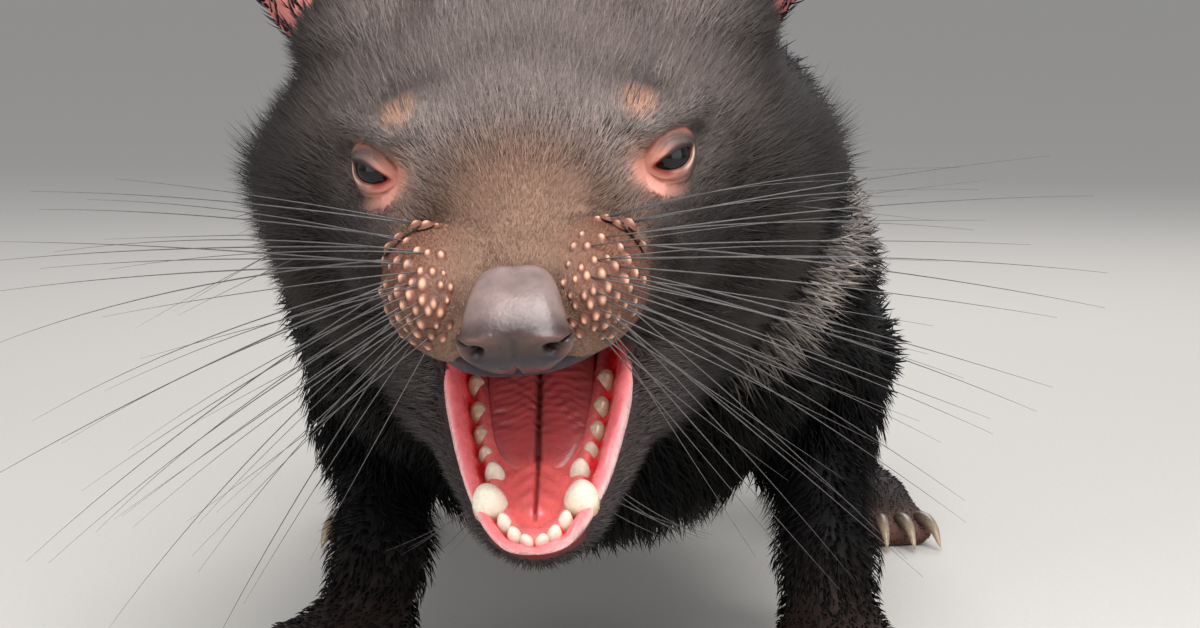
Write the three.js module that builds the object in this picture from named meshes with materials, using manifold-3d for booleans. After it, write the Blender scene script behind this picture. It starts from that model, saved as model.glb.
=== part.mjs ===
// A Tasmanian devil at life size, crouched on four feet with its head low and its mouth open.
// Millimetres, +Z up. The animal faces -Y, and +X is its own left side.
// The body is a set of soft masses, each an ellipsoid or a tapered limb, that blend into one surface.
// That surface goes out to the tips of the coat. It is parted into nodes by thin flat cuts.

import * as THREE from "three";
import { mergeVertices } from "three/addons/utils/BufferGeometryUtils.js";
import Module from "manifold-3d";

const wasm = await Module();
wasm.setup();

const degrees = Math.PI / 180;
const GAP = 0.3; // between touching nodes

// Driving sizes: where the head sits, and how it is turned.
const EYE_HEIGHT = 137;
const HEAD_SIDE = -16;
const HEAD_PITCH = 9; // nose down
const HEAD_YAW = -3.5; // nose towards the animal's right
const HEAD_ROLL = -3; // left side up

// Driving sizes of the head, in its own frame: the origin is midway between the eyes, +Y is backwards.
const EYE = { side: 28.5, back: 1.5, radius: 6.8, outward: 34, upward: 6 };
const LID = { radius: 1.3, halfWidth: 50, halfHeight: 38, segments: 12 };
const NOSE = { at: [0, -53, -18.5], size: [11.8, 8.6, 10.6] };
const PAD = { side: 15, back: -33, up: -17, size: [11.8, 18, 12.6], proud: 0.4 };
const JAW_JOINT = [0, 48, -24];
const JAW_TILT = 31; // below the line of the palate
const EAR = { side: 38, back: 46, up: 27, height: 47, halfWidth: 21, thickness: 2.6 };

// Driving sizes of the trunk and limbs.
const CHEST = { at: [-7, 172, 106], size: [62, 100, 72] };
const BRISKET = { at: [-5, 168, 64], size: [48, 70, 34] };
const BELLY = { at: [-1, 272, 105], size: [63, 108, 71] };
const RUMP = { at: [5, 358, 103], size: [57, 80, 62] };
const WRIST = { side: 55, middle: 1, back: 130, up: 33, radius: 12.5 };
const ANKLE = { side: 70, middle: 6, back: 396, up: 28, radius: 12 };
const TAIL = { start: [6, 404, 124], end: [12, 652, 58], radii: [30, 20, 9], sag: 8 };

// Joining masses into one soft surface

// An ellipsoid. Its distance is estimated from two norms of the scaled point.
function ball(at, size, blend) {
  const [cx, cy, cz] = at;
  const [a, b, c] = size;
  const dist = (x, y, z) => {
    const px = (x - cx) / a;
    const py = (y - cy) / b;
    const pz = (z - cz) / c;
    const near = Math.hypot(px, py, pz);
    const steep = Math.hypot(px / a, py / b, pz / c);
    return steep < 1e-9 ? -Math.min(a, b, c) : (near * (near - 1)) / steep;
  };
  return { blend, dist };
}

// A round-ended rod whose radius runs from startRadius to endRadius.
function limb(from, to, startRadius, endRadius, blend) {
  const axis = to.map((v, i) => v - from[i]);
  const square = axis[0] ** 2 + axis[1] ** 2 + axis[2] ** 2;
  const dist = (x, y, z) => {
    const px = x - from[0];
    const py = y - from[1];
    const pz = z - from[2];
    const along = (px * axis[0] + py * axis[1] + pz * axis[2]) / square;
    const t = Math.min(1, Math.max(0, along));
    const off = Math.hypot(px - t * axis[0], py - t * axis[1], pz - t * axis[2]);
    return off - (startRadius + t * (endRadius - startRadius));
  };
  return { blend, dist };
}

const bothSides = (make) => [...make(-1), ...make(1)];

// Masses that share a frame. The frame is a rigid matrix, so distances are the same in it.
function group(frame, masses, hollows = []) {
  return { back: frame.clone().invert().elements, masses, hollows };
}

function inFrame(m, x, y, z) {
  return [
    m[0] * x + m[4] * y + m[8] * z + m[12],
    m[1] * x + m[5] * y + m[9] * z + m[13],
    m[2] * x + m[6] * y + m[10] * z + m[14],
  ];
}

// The distance to every group joined: a smooth minimum over the masses, then the hollows cut smoothly.
function fieldOf(groups) {
  return (x, y, z) => {
    let d = 1e4;
    const local = groups.map((g) => inFrame(g.back, x, y, z));
    groups.forEach((g, i) => {
      for (const m of g.masses) {
        const e = m.dist(...local[i]);
        const h = Math.min(1, Math.max(0, 0.5 + (0.5 * (d - e)) / m.blend));
        d += (e - d) * h - m.blend * h * (1 - h);
      }
    });
    groups.forEach((g, i) => {
      for (const m of g.hollows) {
        const e = -m.dist(...local[i]);
        const h = Math.min(1, Math.max(0, 0.5 - (0.5 * (d - e)) / m.blend));
        d += (e - d) * h + m.blend * h * (1 - h);
      }
    });
    return d;
  };
}

// Grid lines from low to high, with a step that grows from fine to coarse.
function lines(low, high, fine, coarse = fine) {
  const out = [low];
  while (out[out.length - 1] < high) {
    const last = out[out.length - 1];
    const share = Math.min(1, (last - low) / (high - low));
    out.push(last + fine + (coarse - fine) * share);
  }
  return out;
}

// The surface where a field is zero, by surface nets on a grid: one vertex in each cell that the
// surface crosses, moved onto it, and one quad round each grid edge that it crosses.
function surfaceOf(openField, xs, ys, zs) {
  const [nx, ny, nz] = [xs.length, ys.length, zs.length];
  const wall = 0.4;
  const field = (x, y, z) =>
    Math.max(
      openField(x, y, z),
      xs[0] + wall - x, x - xs[nx - 1] + wall,
      ys[0] + wall - y, y - ys[ny - 1] + wall,
      zs[0] + wall - z, z - zs[nz - 1] + wall,
    );
  const at = (i, j, k) => (i * ny + j) * nz + k;
  const value = new Float64Array(nx * ny * nz);
  for (let i = 0; i < nx; i++)
    for (let j = 0; j < ny; j++)
      for (let k = 0; k < nz; k++) value[at(i, j, k)] = field(xs[i], ys[j], zs[k]);
  unpinch(value, [nx, ny, nz], at);

  const points = [];
  const vertexOf = new Int32Array(nx * ny * nz).fill(-1);
  const corners = [0, 1, 2, 3, 4, 5, 6, 7].map((c) => [c & 1, (c >> 1) & 1, (c >> 2) & 1]);
  const edges = [];
  for (let a = 0; a < 8; a++) for (const bit of [1, 2, 4]) if (!(a & bit)) edges.push([a, a | bit]);
  for (let i = 0; i < nx - 1; i++)
    for (let j = 0; j < ny - 1; j++)
      for (let k = 0; k < nz - 1; k++) {
        const v = corners.map(([a, b, c]) => value[at(i + a, j + b, k + c)]);
        const sum = [0, 0, 0];
        let count = 0;
        for (const [a, b] of edges) {
          if (v[a] < 0 === v[b] < 0) continue;
          const t = v[a] / (v[a] - v[b]);
          const [p, q] = [corners[a], corners[b]];
          sum[0] += xs[i + p[0]] + t * (xs[i + q[0]] - xs[i + p[0]]);
          sum[1] += ys[j + p[1]] + t * (ys[j + q[1]] - ys[j + p[1]]);
          sum[2] += zs[k + p[2]] + t * (zs[k + q[2]] - zs[k + p[2]]);
          count++;
        }
        if (!count) continue;
        vertexOf[at(i, j, k)] = points.length;
        points.push(settled(field, sum.map((s) => s / count)));
      }

  const triangles = [];
  const quad = (a, b, c, d, flip) => {
    const [p, q, r, s] = [a, b, c, d].map((n) => points[n]);
    const split = distance(p, r) <= distance(q, s);
    const pair = split ? [[a, b, c], [a, c, d]] : [[b, c, d], [b, d, a]];
    for (const t of pair) triangles.push(...(flip ? [t[0], t[2], t[1]] : t));
  };
  for (let i = 0; i < nx - 1; i++)
    for (let j = 0; j < ny - 1; j++)
      for (let k = 0; k < nz - 1; k++) {
        const inside = value[at(i, j, k)] < 0;
        const cell = (a, b, c) => vertexOf[at(i - a, j - b, k - c)];
        if (j && k && inside !== value[at(i + 1, j, k)] < 0)
          quad(cell(0, 1, 1), cell(0, 0, 1), cell(0, 0, 0), cell(0, 1, 0), !inside);
        if (i && k && inside !== value[at(i, j + 1, k)] < 0)
          quad(cell(1, 0, 1), cell(1, 0, 0), cell(0, 0, 0), cell(0, 0, 1), !inside);
        if (i && j && inside !== value[at(i, j, k + 1)] < 0)
          quad(cell(1, 1, 0), cell(0, 1, 0), cell(0, 0, 0), cell(1, 0, 0), !inside);
      }
  return solid(points.flat(), triangles);
}

// Grid points that meet the inside only across a diagonal would pinch the surface to a line or a
// point. One point of each such square or cube is taken into the inside, until none is left.
function unpinch(value, [nx, ny, nz], at) {
  const inner = -0.01;
  const steps = [[0, 1, 0, 0, 0, 1], [1, 0, 0, 0, 0, 1], [1, 0, 0, 0, 1, 0]];
  let changed = true;
  while (changed) {
    changed = false;
    const fill = (a, b) => {
      value[value[a] < value[b] ? a : b] = inner;
      changed = true;
    };
    for (let i = 0; i < nx - 1; i++)
      for (let j = 0; j < ny - 1; j++)
        for (let k = 0; k < nz - 1; k++) {
          for (const [a, b, c, d, e, f] of steps) {
            const [p, q] = [at(i, j, k), at(i + a + d, j + b + e, k + c + f)];
            const [r, s] = [at(i + a, j + b, k + c), at(i + d, j + e, k + f)];
            const [first, second] = [value[p] < 0 && value[q] < 0, value[r] < 0 && value[s] < 0];
            if (first && value[r] >= 0 && value[s] >= 0) fill(r, s);
            else if (second && value[p] >= 0 && value[q] >= 0) fill(p, q);
          }
          for (const [a, b] of [[0, 0], [1, 0], [0, 1], [1, 1]]) {
            const low = at(i + a, j + b, k);
            const high = at(i + 1 - a, j + 1 - b, k + 1);
            const beside = [
              at(i + 1 - a, j + b, k), at(i + a, j + 1 - b, k), at(i + a, j + b, k + 1),
            ];
            const across = [
              at(i + a, j + 1 - b, k + 1), at(i + 1 - a, j + b, k + 1), at(i + 1 - a, j + 1 - b, k),
            ];
            const others = [...beside, ...across];
            if (value[low] < 0 && value[high] < 0 && others.every((n) => value[n] >= 0))
              fill(beside[0], beside[1]);
            if (value[low] >= 0 && value[high] >= 0 && others.every((n) => value[n] < 0))
              fill(low, high);
          }
        }
  }
}

function distance(p, q) {
  return Math.hypot(p[0] - q[0], p[1] - q[1], p[2] - q[2]);
}

// A point moved along the field's slope until the field is nearly zero there.
function settled(field, start) {
  const step = 0.2;
  const most = 1.2; // of movement in one go
  let p = start;
  for (let n = 0; n < 4; n++) {
    const d = field(...p);
    const slope = [0, 1, 2].map((axis) => {
      const ahead = [...p];
      const behind = [...p];
      ahead[axis] += step;
      behind[axis] -= step;
      return (field(...ahead) - field(...behind)) / (2 * step);
    });
    const square = slope[0] ** 2 + slope[1] ** 2 + slope[2] ** 2;
    if (square < 1e-6) break;
    const move = Math.min(most, Math.max(-most, d / Math.sqrt(square))) / Math.sqrt(square);
    p = p.map((v, axis) => v - move * slope[axis]);
  }
  return p;
}

// Solids from meshes, and cutting

function solid(positions, triangles) {
  return new wasm.Manifold(
    new wasm.Mesh({
      numProp: 3,
      vertProperties: new Float32Array(positions),
      triVerts: new Uint32Array(triangles),
    }),
  );
}

function solidFromGeometry(geometry, frame = new THREE.Matrix4()) {
  const bare = new THREE.BufferGeometry();
  bare.setAttribute("position", geometry.getAttribute("position"));
  bare.setIndex(geometry.index);
  const merged = mergeVertices(bare.applyMatrix4(frame), 1e-4);
  return solid(merged.attributes.position.array, merged.index.array);
}

function geometryOf(body) {
  const mesh = body.getMesh();
  const geometry = new THREE.BufferGeometry();
  geometry.setAttribute("position", new THREE.BufferAttribute(mesh.vertProperties, 3));
  geometry.setIndex(new THREE.BufferAttribute(mesh.triVerts, 1));
  geometry.computeVertexNormals();
  return geometry;
}

// A cutter: a box whose top face is the cut. It reaches far below that face, or depth if given.
function block(at, normal, size, depth = 400, grow = 0) {
  const box = new THREE.BoxGeometry(size[0] + 2 * grow, size[1] + 2 * grow, depth);
  box.translate(0, 0, depth / 2 - grow);
  const turn = new THREE.Quaternion().setFromUnitVectors(
    new THREE.Vector3(0, 0, 1),
    new THREE.Vector3(...normal).normalize(),
  );
  const frame = new THREE.Matrix4().compose(
    new THREE.Vector3(...at), turn, new THREE.Vector3(1, 1, 1),
  );
  return solidFromGeometry(box, frame);
}

// Parts a body in two at a block: what lies in the block, and the rest, with a gap between.
function parted(body, at, normal, size, depth) {
  const inside = body.intersect(block(at, normal, size, depth));
  const outside = body.subtract(block(at, normal, size, depth, GAP));
  return [largest(inside), largest(outside)];
}

function largest(body) {
  const pieces = body.decompose();
  return pieces.reduce((a, b) => (b.volume() > a.volume() ? b : a));
}

// Swept and lofted pieces

// A closed tube through points, with a radius at each, drawn with flat sides. Ends are capped.
function tube(points, radii, sides) {
  const path = points.map((p) => new THREE.Vector3(...p));
  const positions = [];
  const triangles = [];
  let across = new THREE.Vector3(0.31, 0.23, 0.92);
  path.forEach((p, n) => {
    const ahead = path[Math.min(n + 1, path.length - 1)];
    const along = ahead.clone().sub(path[Math.max(n - 1, 0)]).normalize();
    across = across.clone().addScaledVector(along, -across.dot(along)).normalize();
    const third = along.clone().cross(across);
    for (let s = 0; s < sides; s++) {
      const turn = (2 * Math.PI * s) / sides;
      const q = p.clone();
      q.addScaledVector(across, Math.cos(turn) * radii[n]);
      q.addScaledVector(third, Math.sin(turn) * radii[n]);
      positions.push(q.x, q.y, q.z);
    }
  });
  for (let n = 0; n < path.length - 1; n++)
    for (let s = 0; s < sides; s++) {
      const a = n * sides + s;
      const b = n * sides + ((s + 1) % sides);
      triangles.push(a, b, b + sides, a, b + sides, a + sides);
    }
  const last = (path.length - 1) * sides;
  for (let s = 1; s < sides - 1; s++) {
    triangles.push(0, s + 1, s);
    triangles.push(last, last + s, last + s + 1);
  }
  return solid(positions, triangles);
}

// A tube that joins its own start, such as a lid's rim.
function loop(points, radii, sides) {
  const centre = new THREE.Vector3();
  const path = points.map((p) => new THREE.Vector3(...p));
  path.forEach((p) => centre.addScaledVector(p, 1 / path.length));
  const count = path.length;
  const positions = [];
  const triangles = [];
  path.forEach((p, n) => {
    const along = path[(n + 1) % count].clone().sub(path[(n + count - 1) % count]).normalize();
    const outward = p.clone().sub(centre);
    outward.addScaledVector(along, -outward.dot(along)).normalize();
    const third = along.clone().cross(outward);
    for (let s = 0; s < sides; s++) {
      const turn = (2 * Math.PI * s) / sides;
      const q = p.clone();
      q.addScaledVector(outward, Math.cos(turn) * radii[n]);
      q.addScaledVector(third, Math.sin(turn) * radii[n]);
      positions.push(q.x, q.y, q.z);
    }
  });
  for (let n = 0; n < count; n++)
    for (let s = 0; s < sides; s++) {
      const a = n * sides + s;
      const b = n * sides + ((s + 1) % sides);
      const c = ((n + 1) % count) * sides + ((s + 1) % sides);
      const d = ((n + 1) % count) * sides + s;
      triangles.push(a, b, c, a, c, d);
    }
  return solid(positions, triangles);
}

function ellipsoid(at, size, frame, detail) {
  const shape = new THREE.IcosahedronGeometry(1, detail);
  shape.scale(...size);
  shape.translate(...at);
  return solidFromGeometry(shape, frame);
}

const placedPoint = (frame, p) => new THREE.Vector3(...p).applyMatrix4(frame).toArray();
const placedTurn = (frame, p) => new THREE.Vector3(...p).transformDirection(frame).toArray();

// Frames of the head and the jaw
const headFrame = new THREE.Matrix4().makeRotationFromEuler(
  new THREE.Euler(HEAD_PITCH * degrees, HEAD_ROLL * degrees, HEAD_YAW * degrees, "ZXY"),
);
headFrame.setPosition(HEAD_SIDE, 0, EYE_HEIGHT);
const jawFrame = headFrame
  .clone()
  .multiply(new THREE.Matrix4().makeTranslation(...JAW_JOINT))
  .multiply(new THREE.Matrix4().makeRotationX(JAW_TILT * degrees));
const rowFrame = new THREE.Matrix4();

// The head's masses
const headMasses = [
  ball([0, 40, 1], [48, 44, 31], 10), // braincase
  ball([0, 10, -2], [36, 30, 20], 14), // forehead
  ...bothSides((s) => [
    ball([s * 38, 35, -12], [24, 31, 29], 14), // cheek
    ball([s * 27, 2, -16], [13, 24, 13], 12), // under the eye
    ball([s * 23, -2, 8], [10, 9, 6], 7), // brow
    ball([s * 36, 45, 19], [17, 17, 13], 10), // root of the ear
  ]),
  limb([0, 4, -5], [0, -44, -17], 20, 12.5, 12), // bridge of the muzzle
  ball([0, -31, -18], [20, 27, 13], 8), // muzzle
  ...bothSides((s) => [
    ball([s * PAD.side, PAD.back, PAD.up], PAD.size, 5), // whisker pad
    limb([s * 12, -42, -25], [s * 24, 6, -27], 5.5, 6.5, 6), // upper lip
    ball([s * 22, 19, -37], [6.5, 13, 12], 7), // corner of the mouth
  ]),
  ball([0, -49, -24], [13, 8, 6], 5), // front of the upper lip
];
const headHollows = [
  ...bothSides((s) => [ball([s * 34.5, -7.5, -1], [8, 6.5, 6], 6)]), // eye socket
  ball([0, -14, -35], [14, 37, 10], 4), // palate
  limb([0, -16, -43], [0, 34, -37], 13, 8, 5), // back of the mouth
];
const jawMasses = [
  ...bothSides((s) => [
    limb([s * 29, 0, 2], [s * 20, -45, -7], 20, 12, 12), // angle of the jaw
    limb([s * 18, -45, -6], [s * 8, -80, -4], 11.5, 7.5, 8), // side of the jaw
  ]),
  ball([0, -83, -4.5], [12.5, 11, 8], 7), // chin
  ball([0, -48, -11], [19, 42, 9], 8), // floor of the jaw
  ball([0, -2, -10], [32, 34, 24], 14), // throat
];
const jawHollows = [ball([0, -44, 6], [18.5, 48, 11], 3)]; // trough between the lips

// The trunk's masses
const trunkMasses = [
  limb([-12, 46, 120], [-8, 122, 121], 51, 57, 20), // neck
  ball(CHEST.at, CHEST.size, 24),
  ball(BRISKET.at, BRISKET.size, 16),
  ball(BELLY.at, BELLY.size, 34),
  ball(RUMP.at, RUMP.size, 30),
  ...tailLimbs(),
  ...bothSides((s) => [
    ball([s * 40 - 6, 132, 106], [26, 44, 48], 18), // shoulder
    limb([s * 46 - 4, 140, 100], [s * 54 - 1, 168, 66], 27, 19, 14), // upper arm
    limb([s * 54 - 1, 168, 66], wristPoint(WRIST, s), 18, WRIST.radius, 10),
    ball([s * 42 + 5, 350, 98], [27, 50, 52], 20), // haunch
    limb([s * 46 + 5, 350, 92], [s * 62 + 6, 318, 60], 30, 20, 14), // thigh
    limb([s * 62 + 6, 318, 60], wristPoint(ANKLE, s), 19, ANKLE.radius, 10),
  ]),
];

// The middle of a wrist or ankle, where the leg meets its paw.
function wristPoint(joint, side) {
  return [side * joint.side + joint.middle, joint.back, joint.up];
}

// The tail droops a little between its root and its tip, and tapers in two lengths.
function tailLimbs() {
  const middle = TAIL.start.map((v, i) => (v + TAIL.end[i]) / 2);
  middle[2] -= TAIL.sag;
  return [
    limb(TAIL.start, middle, TAIL.radii[0], TAIL.radii[1], 24),
    limb(middle, TAIL.end, TAIL.radii[1], TAIL.radii[2], 4),
  ];
}

// A paw in its own frame: the origin is on the floor under the wrist, and the toes point to -Y.
const FORE_PAW = { palm: [17, 20, 11], palmAhead: 15, toes: 5, fan: 56, reach: 23, toeRadius: 5.2 };
const HIND_PAW = { palm: [15, 36, 11], palmAhead: 28, toes: 4, fan: 34, reach: 26, toeRadius: 5.4 };

function pawMasses(paw, joint) {
  const front = -paw.palmAhead - paw.palm[1] * 0.35;
  return [
    limb([0, 0, joint.up], [0, -6, 14], joint.radius, joint.radius, 6), // heel
    ball([0, -paw.palmAhead, 9.5], paw.palm, 8),
    ...toeAngles(paw).map((turn) =>
      limb(
        [Math.sin(turn) * 10, front - Math.cos(turn) * 6, 11],
        [Math.sin(turn) * (10 + paw.reach * 0.8), front - Math.cos(turn) * paw.reach, 4.7],
        paw.toeRadius + 1, paw.toeRadius, 3,
      ),
    ),
  ];
}

function toeAngles(paw) {
  return Array.from({ length: paw.toes }, (_, n) => {
    const share = n / (paw.toes - 1) - 0.5;
    return share * paw.fan * degrees;
  });
}

// A claw grows from each toe, forwards and down, and ends just above the floor.
function claws(paw, frame) {
  const front = -paw.palmAhead - paw.palm[1] * 0.35;
  return toeAngles(paw).map((turn) => {
    const along = (reach, up) => [
      Math.sin(turn) * (10 + reach * 0.8), front - Math.cos(turn) * reach, up,
    ];
    const root = along(paw.reach, 8);
    const knuckle = along(paw.reach + 8, 7.5);
    const tip = along(paw.reach + 14.5, 2);
    return tube([root, knuckle, tip].map((p) => placedPoint(frame, p)), [2.2, 1.7, 0.3], 5);
  });
}

const PAWS = [
  { name: "fore", side: -1, paw: FORE_PAW, joint: WRIST, turn: -46 },
  { name: "fore", side: 1, paw: FORE_PAW, joint: WRIST, turn: 8 },
  { name: "hind", side: -1, paw: HIND_PAW, joint: ANKLE, turn: -5 },
  { name: "hind", side: 1, paw: HIND_PAW, joint: ANKLE, turn: 10 },
].map((p) => ({
  ...p,
  frame: new THREE.Matrix4()
    .makeRotationZ(p.turn * degrees)
    .setPosition(p.side * p.joint.side + p.joint.middle, p.joint.back, 0),
}));

const bodyField = fieldOf([
  group(rowFrame, trunkMasses),
  group(headFrame, headMasses, headHollows),
  group(jawFrame, jawMasses, jawHollows),
]);

// Teeth stand along an arch in a jaw's frame: x is half the arch's width, y runs back from the front.
const LOWER_ARCH = { front: -90, depth: 54, halfWidth: 8.6, spread: 5, up: -1.5, direction: 1 };
const UPPER_ARCH = { front: -49, depth: 54, halfWidth: 11, spread: 5, up: -25, direction: -1 };
// Each tooth: how far along the half arch, its radius and its height.
const LOWER_TEETH = [
  [0.05, 1.25, 3.6], [0.14, 1.35, 4], [0.23, 1.5, 4.4], // incisors
  [0.36, 3, 10.5], // canine
  [0.48, 2.1, 4.2], [0.58, 2.3, 4.6], // premolars
  [0.7, 2.9, 5], [0.83, 3.2, 5.2], [0.96, 3.3, 5], // molars
];
const UPPER_TEETH = [
  [0.04, 1.2, 3.2], [0.11, 1.2, 3.4], [0.18, 1.3, 3.6], [0.25, 1.4, 3.8], // incisors
  [0.35, 2.6, 6.5], // canine
  [0.47, 2, 3.6], [0.57, 2.2, 4], // premolars
  [0.69, 2.8, 4.4], [0.82, 3, 4.6], [0.95, 3.1, 4.4], // molars
];

// A point on an arch: a half ellipse at the front that runs on straight and spreads.
function archPoint(arch, share, side) {
  const turn = Math.min(1, share * 2.2) * 90 * degrees;
  const run = Math.max(0, share - 1 / 2.2) / (1 - 1 / 2.2);
  const curve = 15; // from the front to where the arch runs straight
  return [
    side * (arch.halfWidth * Math.sin(turn) + arch.spread * run),
    arch.front + curve * (1 - Math.cos(turn)) + run * (arch.depth - curve),
    arch.up,
  ];
}

function gum(arch, frame) {
  const shares = Array.from({ length: 15 }, (_, n) => n / 7 - 1);
  const points = shares.map((s) => archPoint(arch, Math.abs(s), Math.sign(s) || 1));
  return tube(points.map((p) => placedPoint(frame, p)), points.map(() => 3.1), 6);
}

function teeth(arch, list, frame) {
  return bothSides((side) =>
    list.map(([share, radius, height]) => {
      const foot = archPoint(arch, share, side);
      const lean = height > 7 ? -0.32 : -0.12; // canines lean forwards
      const rise = (up) => [foot[0] * (1 + up * 0.012), foot[1] + lean * up, foot[2] + arch.direction * up];
      const points = [rise(0.5), rise(1.5 + height * 0.5), rise(1.8 + height)];
      return tube(points.map((p) => placedPoint(frame, p)), [radius, radius * 0.86, 0.35 * radius], 6);
    }),
  );
}

// The tongue lies in the trough of the jaw: a slab with a groove down its middle and a blunt tip.
const TONGUE = { tip: -70, root: -20, halfWidth: 8.6, thickness: 6.5, up: -3.2, groove: 1.5 };

function tongue(grow) {
  const stations = 9;
  const across = 8;
  const rings = [];
  for (let n = 0; n <= stations; n++) {
    const share = n / stations;
    const y = TONGUE.tip - grow + share * (TONGUE.root - TONGUE.tip + 2 * grow);
    const blunt = Math.sqrt(1 - (1 - Math.min(1, share * 2.6 + 0.02)) ** 2);
    const half = TONGUE.halfWidth * blunt * (1 + 0.15 * share) + grow;
    const ring = [];
    for (let m = 0; m <= across; m++) {
      const t = (2 * m) / across - 1;
      const dome = TONGUE.thickness * Math.sqrt(1 - 0.8 * t * t) * (0.45 + 0.55 * blunt);
      const groove = TONGUE.groove * blunt * Math.exp(-(t * t) * 30);
      ring.push([t * half, y, TONGUE.up + dome - groove + grow - 2]);
    }
    for (let m = across; m >= 0; m--) {
      const t = (2 * m) / across - 1;
      ring.push([t * half * 0.92, y, TONGUE.up - 2 - grow - 0.8 * (1 - t * t)]);
    }
    rings.push(ring);
  }
  return lofted(rings, jawFrame);
}

// A closed body through rings of points, capped flat at both ends.
function lofted(rings, frame) {
  const count = rings[0].length;
  const positions = rings.flat().flatMap((p) => placedPoint(frame, p));
  const triangles = [];
  for (let n = 0; n < rings.length - 1; n++)
    for (let m = 0; m < count; m++) {
      const a = n * count + m;
      const b = n * count + ((m + 1) % count);
      triangles.push(a, b, b + count, a, b + count, a + count);
    }
  const last = (rings.length - 1) * count;
  for (let m = 1; m < count - 1; m++) {
    triangles.push(0, m + 1, m);
    triangles.push(last, last + m, last + m + 1);
  }
  const made = solid(positions, triangles);
  if (made.volume() > 0) return made;
  const turned = [];
  for (let t = 0; t < triangles.length; t += 3)
    turned.push(triangles[t], triangles[t + 2], triangles[t + 1]);
  return solid(positions, turned);
}

// Eyes and lids

function eyeCentre(side) {
  return [side * EYE.side, EYE.back, 0];
}

// A direction from the eyeball's centre, turned from its gaze sideways and upwards.
function gaze(side, sideways, upwards) {
  const turn = (EYE.outward + sideways) * degrees;
  const rise = (EYE.upward + upwards) * degrees;
  return [side * Math.sin(turn) * Math.cos(rise), -Math.cos(turn) * Math.cos(rise), Math.sin(rise)];
}

function lid(side) {
  const points = [];
  const radii = [];
  for (let n = 0; n < LID.segments; n++) {
    const turn = (2 * Math.PI * n) / LID.segments;
    const up = Math.sin(turn);
    const look = gaze(side, LID.halfWidth * Math.cos(turn), LID.halfHeight * up);
    const out = EYE.radius + 0.6;
    const centre = eyeCentre(side);
    points.push(placedPoint(headFrame, centre.map((c, i) => c + out * look[i])));
    radii.push(LID.radius * (up > 0 ? 1.35 : 1));
  }
  return loop(side > 0 ? points : points.reverse(), side > 0 ? radii : radii.reverse(), 5);
}

// An ear is a cup: it curls round its own length, and its two faces meet at a thin rim.
function ear(side) {
  const up = new THREE.Vector3(side * 0.45, 0.12, 0.88).normalize();
  const facing = new THREE.Vector3(side * 0.42, -0.9, 0.1);
  facing.addScaledVector(up, -facing.dot(up)).normalize();
  const across = up.clone().cross(facing).multiplyScalar(side);
  const base = new THREE.Vector3(side * EAR.side, EAR.back, EAR.up).addScaledVector(up, -7);
  const [rows, columns] = [7, 6];
  const faces = [0, 1].map((back) => {
    const grid = [];
    for (let n = 0; n <= rows; n++)
      for (let m = 0; m <= columns; m++) {
        const share = n / rows;
        const t = (2 * m) / columns - 1;
        const half = EAR.halfWidth * Math.sqrt(1 - ((share - 0.42) / 0.6) ** 2) + 0.5;
        const curl = (72 - 34 * share) * degrees;
        const radius = half / Math.sin(curl);
        const turn = t * curl;
        const thin = EAR.thickness * (1.5 - share) * (1 - 0.55 * t * t);
        const p = base.clone().addScaledVector(up, share * (EAR.height + 7) - 2.5 * t * t * share);
        p.addScaledVector(across, radius * Math.sin(turn));
        p.addScaledVector(facing, radius * (Math.cos(curl) - Math.cos(turn)));
        if (back) {
          p.addScaledVector(across, thin * Math.sin(turn));
          p.addScaledVector(facing, -thin * Math.cos(turn));
        }
        grid.push(p.toArray());
      }
    return grid;
  });
  const size = (rows + 1) * (columns + 1);
  const triangles = [];
  const strip = (a, b, c, d) => triangles.push(a, b, c, a, c, d);
  for (let n = 0; n < rows; n++)
    for (let m = 0; m < columns; m++) {
      const a = n * (columns + 1) + m;
      strip(a, a + 1, a + columns + 2, a + columns + 1);
      strip(size + a, size + a + columns + 1, size + a + columns + 2, size + a + 1);
    }
  const rim = [];
  for (let m = 0; m < columns; m++) rim.push(m);
  for (let n = 0; n < rows; n++) rim.push(n * (columns + 1) + columns);
  for (let m = columns; m > 0; m--) rim.push(rows * (columns + 1) + m);
  for (let n = rows; n > 0; n--) rim.push(n * (columns + 1));
  rim.forEach((a, n) => {
    const b = rim[(n + 1) % rim.length];
    triangles.push(a, size + a, size + b, a, size + b, b);
  });
  const positions = faces.flat().flatMap((p) => placedPoint(headFrame, p));
  const made = solid(positions, triangles);
  if (made.volume() > 0) return { body: made, base, up };
  const turned = [];
  for (let t = 0; t < triangles.length; t += 3)
    turned.push(triangles[t], triangles[t + 2], triangles[t + 1]);
  return { body: solid(positions, turned), base, up };
}

const WHISKERS = [
  // degrees up from level, degrees forwards of straight out, length
  [17, -14, 84], [8, -4, 96], [0, 10, 92], [-5, -6, 100], [-12, 6, 96],
  [-20, -4, 92], [-29, 8, 84], [-38, 0, 76], [-50, 10, 62],
];

// A point over the pad's middle, turned forwards and raised, and so far out of the pad's surface.
function padPoint(side, turn, rise, out) {
  const look = [
    side * Math.cos(turn) * Math.cos(rise), -Math.sin(turn) * Math.cos(rise), Math.sin(rise),
  ];
  return [
    side * PAD.side + look[0] * (PAD.size[0] + out),
    PAD.back + look[1] * (PAD.size[1] + out),
    PAD.up + look[2] * (PAD.size[2] + out),
  ];
}

// The outer half of a whisker pad. Grown, it is the room that the head leaves for it.
function padSolid(side, grow) {
  const size = PAD.size.map((v) => v + PAD.proud + grow);
  const whole = ellipsoid([side * PAD.side, PAD.back, PAD.up], size, headFrame, 2);
  const inner = placedPoint(headFrame, [side * (PAD.side + 0.5), PAD.back, PAD.up]);
  return whole.intersect(block(inner, placedTurn(headFrame, [side, 0, 0]), [80, 80], 40, grow));
}

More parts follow.
